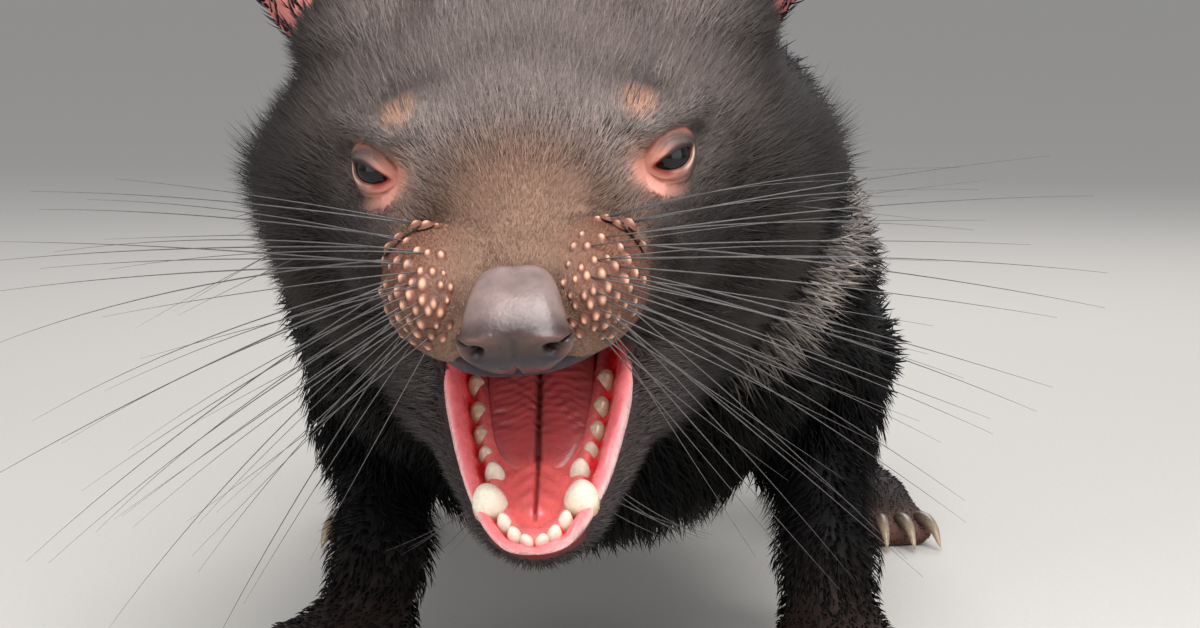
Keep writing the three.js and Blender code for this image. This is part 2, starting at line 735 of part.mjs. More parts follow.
// Long whiskers fan out of the pad, droop and sweep back a little.
function whiskers(side) {
  return WHISKERS.map(([up, ahead, length], n) => {
    const rise = up * degrees;
    const turn = ahead * degrees;
    const root = padPoint(side, (-12 + (n % 3) * 24) * degrees, (38 - n * 9.5) * degrees, -1.5);
    const points = [0, 0.3, 0.65, 1].map((share) => {
      const reach = share * length;
      return [
        root[0] + side * reach * Math.cos(rise) * Math.cos(turn),
        root[1] - reach * Math.sin(turn) + 14 * share * share,
        root[2] + reach * Math.sin(rise) - 9 * share * share,
      ];
    });
    return tube(points.map((p) => placedPoint(headFrame, p)), [0.5, 0.42, 0.32, 0.18], 3);
  });
}

// Cutting the animal into its nodes
const nodes = new Map();
const put = (name, body, material) => nodes.set(name, { body: largest(body), material });

const coat = { color: 0x1c1a1a, roughness: 0.8, metalness: 0 };
const bareSkin = { color: 0x4a3a36, roughness: 0.6, metalness: 0 };
const earSkin = { color: 0x5c4541, roughness: 0.7, metalness: 0 };
const wetSkin = { color: 0xb8434a, roughness: 0.35, metalness: 0 };
const eyeball = { color: 0x0b0d12, roughness: 0.08, metalness: 0 };
const noseSkin = { color: 0x2a2427, roughness: 0.3, metalness: 0 };

// The head, the tail and the legs are drawn finer than the trunk, from the same field.
const headSolid = surfaceOf(
  bodyField, lines(-90, 62, 6.3), lines(-66, 78, 5.4, 9), lines(44, 190, 6.2),
);
const trunkSolid = surfaceOf(
  bodyField, lines(-106, 106, 15), lines(40, 520, 16.5), lines(6, 200, 14),
);
const tailSolid = surfaceOf(
  bodyField, lines(-40, 60, 10), lines(420, 672, 18, 8), lines(36, 170, 8, 14),
);

function together(body, pieces) {
  return pieces.reduce((a, b) => a.add(b), body);
}

const neckTurn = [0.06, 1, -0.1];
let head = headSolid;
[, head] = parted(head, [-10, 64, 130], neckTurn, [400, 400]);
head = together(head, [lid(-1), lid(1)]);
head = together(head, [gum(LOWER_ARCH, jawFrame), gum(UPPER_ARCH, headFrame)]);
head = together(head, teeth(LOWER_ARCH, LOWER_TEETH, jawFrame));
head = together(head, teeth(UPPER_ARCH, UPPER_TEETH, headFrame));
for (const side of [-1, 1]) {
  const label = side > 0 ? "left" : "right";
  const eye = ellipsoid(eyeCentre(side), [1, 1, 1].map((v) => v * EYE.radius), headFrame, 2);
  const room = ellipsoid(eyeCentre(side), [1, 1, 1].map((v) => v * (EYE.radius + GAP)), headFrame, 2);
  head = head.subtract(room);
  put("eye_" + label, eye, eyeball);
  const { body, base, up } = ear(side);
  head = head.add(body);
  const foot = base.clone().addScaledVector(up, 5.5).toArray();
  const [earPiece, rest] = parted(
    head, placedPoint(headFrame, foot), placedTurn(headFrame, up.toArray()), [64, 64], 80,
  );
  put("ear_" + label, earPiece, earSkin);
  head = rest;
}

// The nose leaf, with a comma-shaped nostril on each side.
const nostrils = bothSides((s) => [
  tube(
    [[s * 3.8, -66, -20.5], [s * 5.2, -58, -19.5], [s * 6, -54, -18]].map((p) => placedPoint(headFrame, p)),
    [2.1, 1.9, 0.8], 7,
  ),
  tube(
    [[s * 5, -60, -20.5], [s * 9, -57.5, -22], [s * 12.5, -56, -23]].map((p) => placedPoint(headFrame, p)),
    [1.5, 1.2, 0.8], 5,
  ),
]);
const leaf = ellipsoid(NOSE.at, NOSE.size, headFrame, 2);
const roomForLeaf = ellipsoid(NOSE.at, NOSE.size.map((v) => v + GAP), headFrame, 2);
put("nose", nostrils.reduce((a, b) => a.subtract(b), leaf), noseSkin);

// The jaw leaves the head along a plane through the corners of the mouth.
const [jaw, skull] = parted(
  head, placedPoint(headFrame, [0, 19, -38]), placedTurn(headFrame, [0, 0.21, -0.98]), [300, 300],
);
let muzzle = skull.subtract(tongue(GAP)).subtract(roomForLeaf);
for (const side of [-1, 1]) {
  muzzle = muzzle.subtract(padSolid(side, GAP));
  const pad = padSolid(side, 0).subtract(roomForLeaf);
  put("whisker_pad_" + (side > 0 ? "left" : "right"), together(pad, whiskers(side)), bareSkin);
}
put("head", muzzle, coat);
put("tongue", tongue(0), wetSkin);
put("jaw", jaw.subtract(tongue(GAP)), coat);

// The trunk, parted at the neck, the tail and each leg.
let trunk = trunkSolid;
[trunk] = parted(trunk, [-10, 64 + GAP, 130], neckTurn, [400, 400], 900);
const [behind, neck] = parted(trunk, [-8, 96, 120], [0.04, 1, -0.25], [400, 400], 900);
put("neck", neck, coat);
trunk = behind;
for (const { name, side, paw, joint, frame } of PAWS) {
  const label = `${name}leg_${side > 0 ? "left" : "right"}`;
  const fore = name === "fore";
  const cut = [side * 42 + (fore ? -4 : 5), fore ? 152 : 350, 56];
  const size = [150, fore ? 92 : 120];
  const normal = [side * 0.88, 0, -0.47];
  [, trunk] = parted(trunk, cut, normal, size, 200);
  const limbField = fieldOf([group(rowFrame, trunkMasses), group(frame, pawMasses(paw, joint))]);
  const legSolid = surfaceOf(
    limbField, lines(Math.min(side * 8, side * 118), Math.max(side * 8, side * 118), 11),
    lines(cut[1] - size[1] / 2 - 12, cut[1] + size[1] / 2 + 12, 11), lines(16, 134, 11),
  );
  const [leg] = parted(legSolid, cut, normal, size, 200);
  const wrist = placedPoint(frame, [0, 0, joint.up - 2]);
  const ankleTurn = [0, fore ? -0.35 : -0.02, -1];
  const [, upper] = parted(leg, wrist, ankleTurn, [80, 80], 60);
  put(label, upper, coat);
  const reach = paw.palmAhead + paw.palm[1] + paw.reach + 24;
  const centre = placedPoint(frame, [0, -reach / 2 + 12, 0]);
  const span = reach / 2 + 18;
  const foot = surfaceOf(
    limbField, lines(centre[0] - span, centre[0] + span, 7.4),
    lines(centre[1] - span, centre[1] + span, 7.4), lines(-9, 54, 7.4),
  );
  const [below] = parted(together(foot, claws(paw, frame)), wrist, ankleTurn, [160, 160], 80);
  const [standing] = parted(below, [wrist[0], wrist[1], 0], [0, 0, 1], [300, 300]);
  put(`${name}paw_${side > 0 ? "left" : "right"}`, standing, bareSkin);
}
const tailCut = [6, 436, 112];
const [, torso] = parted(trunk, tailCut, [0, 1, -0.2], [140, 140]);
const [tail] = parted(tailSolid, tailCut, [0, 1, -0.2], [140, 140]);
put("torso", torso, coat);
const [tailTip, tailRoot] = parted(tail, [9, 540, 82], [0, 1, -0.25], [120, 120]);
put("tail_root", tailRoot, coat);
put("tail_tip", tailTip, coat);

// The finished group, moved so that its origin is under the middle of its box, on the floor.
const animal = new THREE.Group();
for (const [name, { body, material }] of nodes) {
  const mesh = new THREE.Mesh(geometryOf(body), new THREE.MeshStandardMaterial(material));
  mesh.name = name;
  animal.add(mesh);
}
const box = new THREE.Box3().setFromObject(animal);
animal.position.set(-(box.min.x + box.max.x) / 2, -(box.min.y + box.max.y) / 2, -box.min.z);

export default animal;
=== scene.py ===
"""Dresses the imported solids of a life-size Tasmanian devil.

One skin carries the whole animal, with a coat of solid tufts over it. The eyes, lids, nose, mouth,
tongue, teeth, whiskers, ears and claws are pieces of their own. Shapes are worked out in millimetres
in the animal's own frame, as its solids are, and are placed in metres in the row frame.
"""

import bpy
import numpy as np
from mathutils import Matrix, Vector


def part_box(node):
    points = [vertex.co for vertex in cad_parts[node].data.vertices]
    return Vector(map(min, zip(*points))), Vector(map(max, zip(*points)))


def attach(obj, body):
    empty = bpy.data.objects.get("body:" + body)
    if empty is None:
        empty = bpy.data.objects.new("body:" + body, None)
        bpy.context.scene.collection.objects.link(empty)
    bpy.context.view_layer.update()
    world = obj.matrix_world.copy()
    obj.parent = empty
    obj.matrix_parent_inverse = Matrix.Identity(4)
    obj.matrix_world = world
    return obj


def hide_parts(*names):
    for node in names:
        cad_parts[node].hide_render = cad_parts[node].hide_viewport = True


bl_info = {
    "name": "Tasmanian devil",
    "version": (1, 0, 0),
    "blender": (4, 5, 0),
    "location": "3D View > Sidebar > Devil",
    "description": "Skin, coat, face and mouth of a life-size Tasmanian devil model",
    "category": "Object",
}

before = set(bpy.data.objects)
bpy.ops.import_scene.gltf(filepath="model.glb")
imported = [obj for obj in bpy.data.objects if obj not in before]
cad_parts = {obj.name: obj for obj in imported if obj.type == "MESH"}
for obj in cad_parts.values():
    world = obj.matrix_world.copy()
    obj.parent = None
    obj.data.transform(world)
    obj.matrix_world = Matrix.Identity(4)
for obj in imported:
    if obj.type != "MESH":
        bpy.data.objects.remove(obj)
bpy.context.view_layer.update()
SEED = 7


# Small maths


def linear(code):
    """An sRGB hex colour as linear red, green and blue."""
    shares = np.array([int(code[n : n + 2], 16) for n in (1, 3, 5)]) / 255
    return tuple(np.where(shares <= 0.04045, shares / 12.92, ((shares + 0.055) / 1.055) ** 2.4))


def mm(metres):
    """Metres as millimetres."""
    return metres * 1000


def unit(v):
    """Vectors scaled to length one."""
    return v / np.maximum(np.linalg.norm(v, axis=-1, keepdims=True), 1e-9)


def smooth(start, end, x):
    """A rise from 0 at start to 1 at end: 3t^2 - 2t^3. It falls where end is below start."""
    t = np.clip((x - start) / (end - start), 0, 1)
    return t * t * (3 - 2 * t)


def mixed(a, b, share):
    """a and b mixed, with b's share between 0 and 1."""
    return a + (b - a) * share


def turned(axis, degrees):
    """A frame turned about x, y or z."""
    c, s = np.cos(np.radians(degrees)), np.sin(np.radians(degrees))
    i, j = {"x": (1, 2), "y": (2, 0), "z": (0, 1)}[axis]
    m = np.eye(4)
    m[i, i] = m[j, j] = c
    m[i, j], m[j, i] = -s, s
    return m


def moved(x, y, z):
    """A frame moved by x, y and z."""
    m = np.eye(4)
    m[:3, 3] = x, y, z
    return m


def out_of(place, points):
    """Points in a frame, as points of the animal."""
    return points @ place[:3, :3].T + place[:3, 3]


def into(place, points):
    """Points of the animal, in a frame."""
    return (points - place[:3, 3]) @ place[:3, :3]


def both(make):
    """What make gives for the right side and for the left."""
    return [*make(-1), *make(1)]


# Sizes and colours that a user may change


class DevilSizes(bpy.types.PropertyGroup):
    """Where the head sits, and the sizes of what is on it."""

    head_pitch: bpy.props.FloatProperty(
        name="Head pitch", description="How far the nose points down", default=np.radians(9), subtype="ANGLE"
    )
    head_yaw: bpy.props.FloatProperty(
        name="Head turn", description="Turn to the animal's left", default=np.radians(-3.5), subtype="ANGLE"
    )
    head_roll: bpy.props.FloatProperty(
        name="Head roll", description="Roll to the animal's left", default=np.radians(-3), subtype="ANGLE"
    )
    gape: bpy.props.FloatProperty(
        name="Gape", description="Angle between the palate and the lower jaw",
        default=np.radians(31), subtype="ANGLE",
    )
    eye_radius: bpy.props.FloatProperty(
        name="Eye radius", description="Radius of the eyeball", default=0.0068, unit="LENGTH"
    )
    whisker_length: bpy.props.FloatProperty(
        name="Whisker length", description="Length of the longest whiskers", default=0.1, unit="LENGTH"
    )
    whisker_width: bpy.props.FloatProperty(
        name="Whisker width", description="Width of a whisker at its root", default=0.00042, unit="LENGTH"
    )
    papilla_width: bpy.props.FloatProperty(
        name="Papilla width", description="Width of a whisker's papilla", default=0.0024, unit="LENGTH"
    )


class DevilCoat(bpy.types.PropertyGroup):
    """How dense the coat is, and how its tufts lie."""

    density: bpy.props.FloatProperty(
        name="Density", description="Share of the full count of tufts", default=1.0, min=0.01, max=1.0
    )
    lift: bpy.props.FloatProperty(
        name="Lift", description="Angle between a tuft's root and the skin",
        default=np.radians(36), subtype="ANGLE",
    )
    spread: bpy.props.FloatProperty(
        name="Spread", description="How far a tuft may turn from the coat's lie",
        default=np.radians(13), subtype="ANGLE",
    )


class DevilColours(bpy.types.PropertyGroup):
    """Colours of the coat, the bare skin and the mouth."""

    coat: bpy.props.FloatVectorProperty(
        name="Coat", description="Body coat at the tips", default=linear("#100e0e"), subtype="COLOR"
    )
    # The crown colour is painted sheen: grey tips that stand for light from above on the forehead's dark hair.
    crown: bpy.props.FloatVectorProperty(
        name="Crown", description="Grizzled tips on the forehead", default=linear("#958781"), subtype="COLOR"
    )
    snout: bpy.props.FloatVectorProperty(
        name="Snout", description="Short hair on the snout", default=linear("#967665"), subtype="COLOR"
    )
    band: bpy.props.FloatVectorProperty(
        name="Band", description="Pale hair on the shoulder and chest",
        default=linear("#bcb1a9"), subtype="COLOR",
    )
    lid: bpy.props.FloatVectorProperty(
        name="Lid", description="Bare skin round the eye", default=linear("#c58a7a"), subtype="COLOR"
    )
    lip: bpy.props.FloatVectorProperty(
        name="Lip", description="Inner face of the lip", default=linear("#ff8489"), subtype="COLOR"
    )
    tongue: bpy.props.FloatVectorProperty(
        name="Tongue", description="Tongue", default=linear("#b04a4c"), subtype="COLOR"
    )
    tooth: bpy.props.FloatVectorProperty(
        name="Tooth", description="Enamel", default=linear("#efe6d2"), subtype="COLOR"
    )
    # The nose colour is the colour of its top, which is lighter partly as painted sheen of light from above.
    nose: bpy.props.FloatVectorProperty(
        name="Nose", description="Bare nose skin", default=linear("#75635f"), subtype="COLOR"
    )


class DevilStage(bpy.types.PropertyGroup):
    """The camera, the lights and the floor."""

    camera_up: bpy.props.FloatProperty(
        name="Camera height", description="Height of the lens over the floor", default=0.184, unit="LENGTH"
    )
    camera_away: bpy.props.FloatProperty(
        name="Camera distance", description="From the eyes forwards to the lens",
        default=0.7485, unit="LENGTH",
    )
    camera_down: bpy.props.FloatProperty(
        name="Camera tilt", description="How far the lens points down", default=np.radians(6), subtype="ANGLE"
    )
    lens: bpy.props.FloatProperty(name="Lens", description="Focal length in millimetres", default=107.76)
    key: bpy.props.FloatProperty(name="Key light", description="Power of the softbox", default=16.0)
    fill: bpy.props.FloatProperty(name="Fill light", description="Power of the two fills", default=3.8)
    world: bpy.props.FloatProperty(name="World", description="Strength of the pale surroundings", default=0.5)
    floor: bpy.props.FloatVectorProperty(
        name="Floor", description="The pale floor", default=linear("#c4c0ba"), subtype="COLOR"
    )


# Frames of the head, the jaw and the paws, and the body's own measures, as in the solids

EYES_UP = 137
HEAD_SIDE = -16
JAW_JOINT = (0, 48, -24)
EYE_SIDE = 28.5
EYE_BACK = 1.5
GAZE_OUT = 34  # degrees
GAZE_UP = 6
WRIST = {"side": 55, "middle": 1, "back": 130, "up": 33, "radius": 12.5}
ANKLE = {"side": 70, "middle": 6, "back": 396, "up": 28, "radius": 12}
FORE_PAW = {"palm": (17, 20, 11), "ahead": 15, "toes": 5, "fan": 56, "reach": 23, "toe": 5.2}
HIND_PAW = {"palm": (15, 36, 11), "ahead": 28, "toes": 4, "fan": 34, "reach": 26, "toe": 5.4}
PAWS = (
    ("forepaw_right", -1, FORE_PAW, WRIST, -46),
    ("forepaw_left", 1, FORE_PAW, WRIST, 8),
    ("hindpaw_right", -1, HIND_PAW, ANKLE, -5),
    ("hindpaw_left", 1, HIND_PAW, ANKLE, 10),
)
TAIL_START = (6, 404, 124)
TAIL_END = (12, 652, 58)
TAIL_RADII = (30, 20, 9)
TAIL_SAG = 8
PAD = {"side": 15.4, "back": -33, "up": -17, "size": (11.9, 18, 12.6)}
PAPILLA = {"high": 0.8, "wide": 1.25, "tall": 1.8}  # in half widths
NOSE = {"at": (1.5, -53, -18.5), "size": (11.8, 8.8, 10.8)}
EAR = {"side": 38, "back": 46, "up": 27, "height": 47, "half": 21, "thick": 2.4}


def sizes():
    return bpy.context.scene.devil_sizes


def colours():
    return bpy.context.scene.devil_colours


def head_frame():
    """The head's frame: its origin is midway between the eyes, +Y is backwards."""
    s = sizes()
    pitch, yaw, roll = np.degrees([s.head_pitch, s.head_yaw, s.head_roll])
    return moved(HEAD_SIDE, 0, EYES_UP) @ turned("z", yaw) @ turned("x", pitch) @ turned("y", roll)


def jaw_frame():
    """The lower jaw's frame, tilted by the gape about the jaw's joint."""
    return head_frame() @ moved(*JAW_JOINT) @ turned("x", np.degrees(sizes().gape))


def paw_frame(side, joint, turn):
    """A paw's frame: its origin is on the floor under the joint, and the toes point to -Y."""
    return moved(side * joint["side"] + joint["middle"], joint["back"], 0) @ turned("z", turn)


def row_shift():
    """From the animal's frame to the row frame in mm: the eyes' solids are where the eyes are."""
    boxes = [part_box(name) for name in ("eye_left", "eye_right")]
    solids = np.mean([np.array(low + high) / 2 for low, high in boxes], axis=0)
    return mm(solids) - out_of(head_frame(), np.array([0.0, EYE_BACK, 0.0]))


# The body as soft masses that blend into one surface. Each has the depth of the coat over it.


def ball(at, size, blend, coat=0.0):
    """An ellipsoid: with n = |p/size| and s = |p/size^2| the distance is n(n - 1)/s."""
    at, size = np.array(at, np.float32), np.array(size, np.float32)

    def distance(points):
        scaled = (points - at) / size
        near = np.sqrt((scaled**2).sum(1))
        steep = np.sqrt(((scaled / size) ** 2).sum(1))
        return near * (near - 1) / np.maximum(steep, 1e-6)

    return distance, blend, coat


def limb(start, end, start_radius, end_radius, blend, coat=0.0):
    """A round-ended rod: the distance to its axis, less a radius that runs along it."""
    start = np.array(start, np.float32)
    axis = np.array(end, np.float32) - start

    def distance(points):
        off = points - start
        share = np.clip(off @ axis / (axis @ axis), 0, 1)
        off = off - share[:, None] * axis
        return np.sqrt((off**2).sum(1)) - (start_radius + share * (end_radius - start_radius))

    return distance, blend, coat


def head_masses():
    return [
        ball((0, 40, 1), (48, 44, 31), 10, 4.2),  # braincase
        ball((0, 10, -2), (36, 30, 20), 14, 2.6),  # forehead
        *both(
            lambda s: [
                ball((s * 38, 35, -12), (24, 31, 29), 14, 6),  # cheek
                ball((s * 27, 2, -16), (13, 24, 13), 12, 1.4),  # under the eye
                ball((s * 23, -2, 8), (10, 9, 6), 7, 1.4),  # brow
                limb((s * 17, -8, 4.5), (s * 37, 3, 10.5), 3.4, 4.4, 4, 1.2),  # ridge over the eye
                ball((s * 36, 45, 19), (17, 17, 13), 10, 4),  # root of the ear
            ]
        ),
        limb((0, 4, -5), (1, -39.5, -19), 20, 10.2, 10, 0.8),  # bridge of the snout
        ball((1, -28, -20.5), (16.5, 22, 11), 5, 0.5),  # snout
        *both(
            lambda s: [
                ball((s * PAD["side"], PAD["back"], PAD["up"]), PAD["size"], 3.5, 0.4),  # whisker pad
                limb((s * 12, -42, -25), (s * 24, 6, -27), 5.5, 6.5, 6, 0.6),  # upper lip
                ball((s * 22, 19, -37), (6.5, 13, 12), 7, 1.6),  # corner of the mouth
            ]
        ),
        ball((1, -48, -25), (12, 8, 5.4), 4, 0.4),  # front of the upper lip
    ]


def head_hollows():
    return [
        *both(
            lambda s: [
                ball((s * 34.5, -7.5, -1), (8.5, 7, 6.5), 6),  # eye socket
                limb((s * 9.5, -47, -4), (s * 13, -24, 0.5), 1.6, 2.2, 4),  # between the bridge and the pad
                limb((s * 28.5, -20, -4), (s * 29.5, -17, -20), 2.4, 2.6, 4),  # behind the pad
            ]
        ),
        ball((0, -14, -35), (14.6, 39, 11), 4),  # palate
        limb((0, -16, -43), (0, 34, -37), 13, 8, 5),  # back of the mouth
    ]


def jaw_masses():
    return [
        *both(
            lambda s: [
                limb((s * 29, 0, 2), (s * 20, -45, -7), 20, 12, 12, 4.5),  # angle of the jaw
                limb((s * 18, -45, -6), (s * 8, -80, -4), 11.5, 7.5, 8, 1.8),  # side of the jaw
            ]
        ),
        ball((0, -82, -4.8), (11.8, 12.4, 7.6), 7, 1.4),  # chin
        ball((0, -48, -11), (19, 42, 9), 8, 2),  # floor of the jaw
        ball((0, -2, -10), (32, 34, 24), 14, 6),  # throat
    ]


def jaw_hollows():
    return [ball((0, -44, 6), (19.4, 53, 13.4), 3)]  # trough between the lips


def trunk_masses():
    middle = np.mean([TAIL_START, TAIL_END], axis=0) - (0, 0, TAIL_SAG)
    return [
        limb((-12, 46, 120), (-8, 122, 121), 51, 57, 20, 7),  # neck
        ball((-7, 172, 106), (62, 100, 72), 24, 7),  # chest
        ball((-5, 168, 64), (48, 70, 34), 16, 7),  # brisket
        ball((-1, 272, 105), (63, 108, 71), 34, 7),  # belly
        ball((5, 358, 103), (57, 80, 62), 30, 7),  # rump
        limb(TAIL_START, middle, TAIL_RADII[0], TAIL_RADII[1], 24, 7),
        limb(middle, TAIL_END, TAIL_RADII[1], TAIL_RADII[2], 4, 6),
        *both(
            lambda s: [
                ball((s * 40 - 6, 132, 106), (26, 44, 48), 18, 6.5),  # shoulder
                limb((s * 46 - 4, 140, 100), (s * 54 - 1, 168, 66), 27, 19, 14, 5),  # upper arm
                limb((s * 54 - 1, 168, 66), joint_at(WRIST, s), 18, WRIST["radius"], 10, 3.5),
                ball((s * 42 + 5, 350, 98), (27, 50, 52), 20, 6.5),  # haunch
                limb((s * 46 + 5, 350, 92), (s * 62 + 6, 318, 60), 30, 20, 14, 6),  # thigh
                limb((s * 62 + 6, 318, 60), joint_at(ANKLE, s), 19, ANKLE["radius"], 10, 3.5),
            ]
        ),
    ]


def joint_at(joint, side):
    return (side * joint["side"] + joint["middle"], joint["back"], joint["up"])


def toe_turns(paw):
    """Each toe's turn in radians, spread evenly over the fan."""
    return np.radians((np.arange(paw["toes"]) / (paw["toes"] - 1) - 0.5) * paw["fan"])


def toe_point(paw, turn, reach, up):
    """A point along a toe, in the paw's frame."""
    front = -paw["ahead"] - 0.35 * paw["palm"][1]
    return (np.sin(turn) * (10 + 0.8 * reach), front - np.cos(turn) * reach, up)


def paw_masses(paw, joint):
    toe = paw["toe"]
    return [
        limb((0, 0, joint["up"]), (0, -6, 14), joint["radius"], joint["radius"], 6, 2),  # heel
        ball((0, -paw["ahead"], 9.5), paw["palm"], 8, 1.2),
        *(
            limb(
                toe_point(paw, turn, 6, 11),
                toe_point(paw, turn, paw["reach"], 4.7),
                toe + 1, toe, 3, 0.7,
            )
            for turn in toe_turns(paw)
        ),
    ]


def body_groups():
    """Groups of masses that share a frame: (frame, masses, hollows)."""
    paws = [
        (paw_frame(side, joint, turn), paw_masses(paw, joint), [])
        for _, side, paw, joint, turn in PAWS
    ]
    return [
        (np.eye(4), trunk_masses(), []),
        (head_frame(), head_masses(), head_hollows()),
        (jaw_frame(), jaw_masses(), jaw_hollows()),
        *paws,
    ]


def body_field(points, groups, with_coat=False):
    """The distance to the coat's surface, and the depth of the coat.

    Masses join by a smooth minimum, d += (e - d)h - b h(1 - h) with h = 1/2 + (d - e)/2b, and
    hollows are cut by the smooth maximum. The depth is mixed with the same h.
    """
    points = np.asarray(points, np.float32)
    d = np.full(len(points), 1e4, np.float32)
    depth = np.zeros(len(points), np.float32)
    local = [into(place.astype(np.float32), points) for place, _, _ in groups]
    for own, (_, masses, _) in zip(local, groups):
        for distance, blend, coat in masses:
            e = distance(own)
            h = np.clip(0.5 + 0.5 * (d - e) / blend, 0, 1)
            d += (e - d) * h - blend * h * (1 - h)
            depth += (coat - depth) * h
    for own, (_, _, hollows) in zip(local, groups):
        for distance, blend, _ in hollows:
            e = -distance(own)
            h = np.clip(0.5 - 0.5 * (d - e) / blend, 0, 1)
            d += (e - d) * h + blend * h * (1 - h)
            depth *= 1 - h
    return (d, depth) if with_coat else d + depth


def surface_net(field, axes):
    """The surface where a field is zero, on a grid with the given lines along x, y and z.

    Each cell that the surface crosses gets one vertex, the mean of its edges' crossings, and each
    grid edge that it crosses gets the quad of the four cells round it.
    """
    grid = np.stack(np.meshgrid(*axes, indexing="ij"), -1)
    value = field(grid.reshape(-1, 3)).reshape(grid.shape[:3])
    inside = value < 0
    corners = [(a, b, c) for a in (0, 1) for b in (0, 1) for c in (0, 1)]
    cells = np.array(value.shape) - 1
    cut = [tuple(slice(o, o + n) for o, n in zip(corner, cells)) for corner in corners]
    filled = sum(inside[part].astype(np.int8) for part in cut)
    active = (filled > 0) & (filled < 8)
    number = np.full(active.shape, -1)
    number[active] = np.arange(active.sum())
    at = np.argwhere(active)
    values = [value[tuple((at + corner).T)] for corner in corners]
    places = [grid[tuple((at + corner).T)] for corner in corners]
    total = np.zeros((len(at), 3))
    count = np.zeros((len(at), 1))
    for a in range(8):
        for bit in (1, 2, 4):
            b = a | bit
            if a == b:
                continue
            crossed = (values[a] < 0) != (values[b] < 0)
            step = np.where(crossed, values[a] - values[b], 1)
            share = np.where(crossed, values[a] / step, 0)[:, None]
            total += np.where(crossed[:, None], mixed(places[a], places[b], share), 0)
            count += crossed[:, None]
    quads = []
    for axis in range(3):
        across, along = (axis + 1) % 3, (axis + 2) % 3
        low = [slice(None)] * 3
        high = [slice(None)] * 3
        low[axis], high[axis] = slice(0, -1), slice(1, None)
        for other in (across, along):
            low[other] = high[other] = slice(1, -1)
        start = inside[tuple(low)]
        edges = np.argwhere(start != inside[tuple(high)])
        outward = start[tuple(edges.T)]
        ring = []
        for one, two in ((0, 0), (1, 0), (1, 1), (0, 1)):
            cell = edges.copy()
            cell[:, across] += one
            cell[:, along] += two
            ring.append(number[tuple(cell.T)])
        ring = np.stack(ring, 1)
        quads.append(np.where(outward[:, None], ring, ring[:, ::-1]))
    return total / count, np.concatenate(quads)


def settled(field, points, times=3):
    """Points moved along the field's slope until the field is nearly zero there."""
    step = 0.15
    for _ in range(times):
        here = field(points)
        slope = slope_of(field, points, here, step)
        square = np.maximum((slope**2).sum(1), 0.05)
        points = points - (np.clip(here, -1.2, 1.2) / square)[:, None] * slope
    return points


def slope_of(field, points, here, step):
    """The field's slope by forward differences."""
    return np.stack([(field(points + step * np.eye(3)[n]) - here) / step for n in range(3)], 1)


# Meshes


def place(name, points, faces, material, slot, body="root", replaces=(), **attributes):
    """A mesh object from points of the animal in mm, moved to the row frame in metres.

    Attributes are arrays with one linear colour for each point. The object sits at the origin.
    """
    mesh = bpy.data.meshes.new(name)
    points = (np.asarray(points, float) + row_shift()) / 1000
    mesh.from_pydata([], [], [])
    mesh.vertices.add(len(points))
    mesh.vertices.foreach_set("co", points.astype(np.float32).ravel())
    faces = [np.asarray(f, np.int32) for f in (faces if isinstance(faces, list) else [faces])]
    counts = np.concatenate([np.full(len(f), f.shape[1], np.int32) for f in faces])
    corners = np.concatenate([f.ravel() for f in faces])
    mesh.loops.add(len(corners))
    mesh.loops.foreach_set("vertex_index", corners)
    mesh.polygons.add(len(counts))
    mesh.polygons.foreach_set("loop_start", np.concatenate([[0], np.cumsum(counts)[:-1]]).astype(np.int32))
    mesh.polygons.foreach_set("use_smooth", np.full(len(counts), True))
    mesh.update(calc_edges=True)
    for key, values in attributes.items():
        colour = mesh.attributes.new(key, "FLOAT_COLOR", "POINT")
        rgba = np.ones((len(points), 4), np.float32)
        rgba[:, :3] = np.clip(values, 0, 1)
        colour.data.foreach_set("color", rgba.ravel())
    mesh.materials.append(material)
    made = bpy.data.objects.new(name, mesh)
    bpy.context.scene.collection.objects.link(made)
    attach(made, body)
    if replaces:
        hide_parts(*replaces)
    return made


def grid_faces(rows, columns, start=0, wrap=False):
    """Quads over a grid of rows by columns, numbered row by row. wrap joins the last column to the first."""
    across = columns if wrap else columns - 1
    row, column = np.meshgrid(np.arange(rows - 1), np.arange(across), indexing="ij")
    row, column = row.ravel(), column.ravel()
    beside = (column + 1) % columns
    this_row, next_row = row * columns, (row + 1) * columns
    quad = [this_row + column, this_row + beside, next_row + beside, next_row + column]
    return start + np.stack(quad, 1)


def border_of(rows, columns):
    """The points round the border of a grid, in order."""
    return np.concatenate([
        np.arange(columns), (np.arange(1, rows) + 1) * columns - 1,
        (rows - 1) * columns + np.arange(columns - 2, -1, -1), np.arange(rows - 2, 0, -1) * columns,
    ])


def welded(points, faces, *values):
    """Points that coincide are made one, and quads that lose a side become triangles or go."""
    keys, first, where = np.unique(np.round(points, 4), axis=0, return_index=True, return_inverse=True)
    faces = where.reshape(-1)[faces]
    same = faces == np.roll(faces, -1, axis=1)
    whole = faces[~same.any(1)]
    thin = faces[same.sum(1) == 1]
    kept = np.sort(np.argsort(same[same.sum(1) == 1], axis=1, kind="stable")[:, :3], axis=1)
    triangles = np.take_along_axis(thin, kept, 1)
    return keys, [whole, triangles], *(v[first] for v in values)


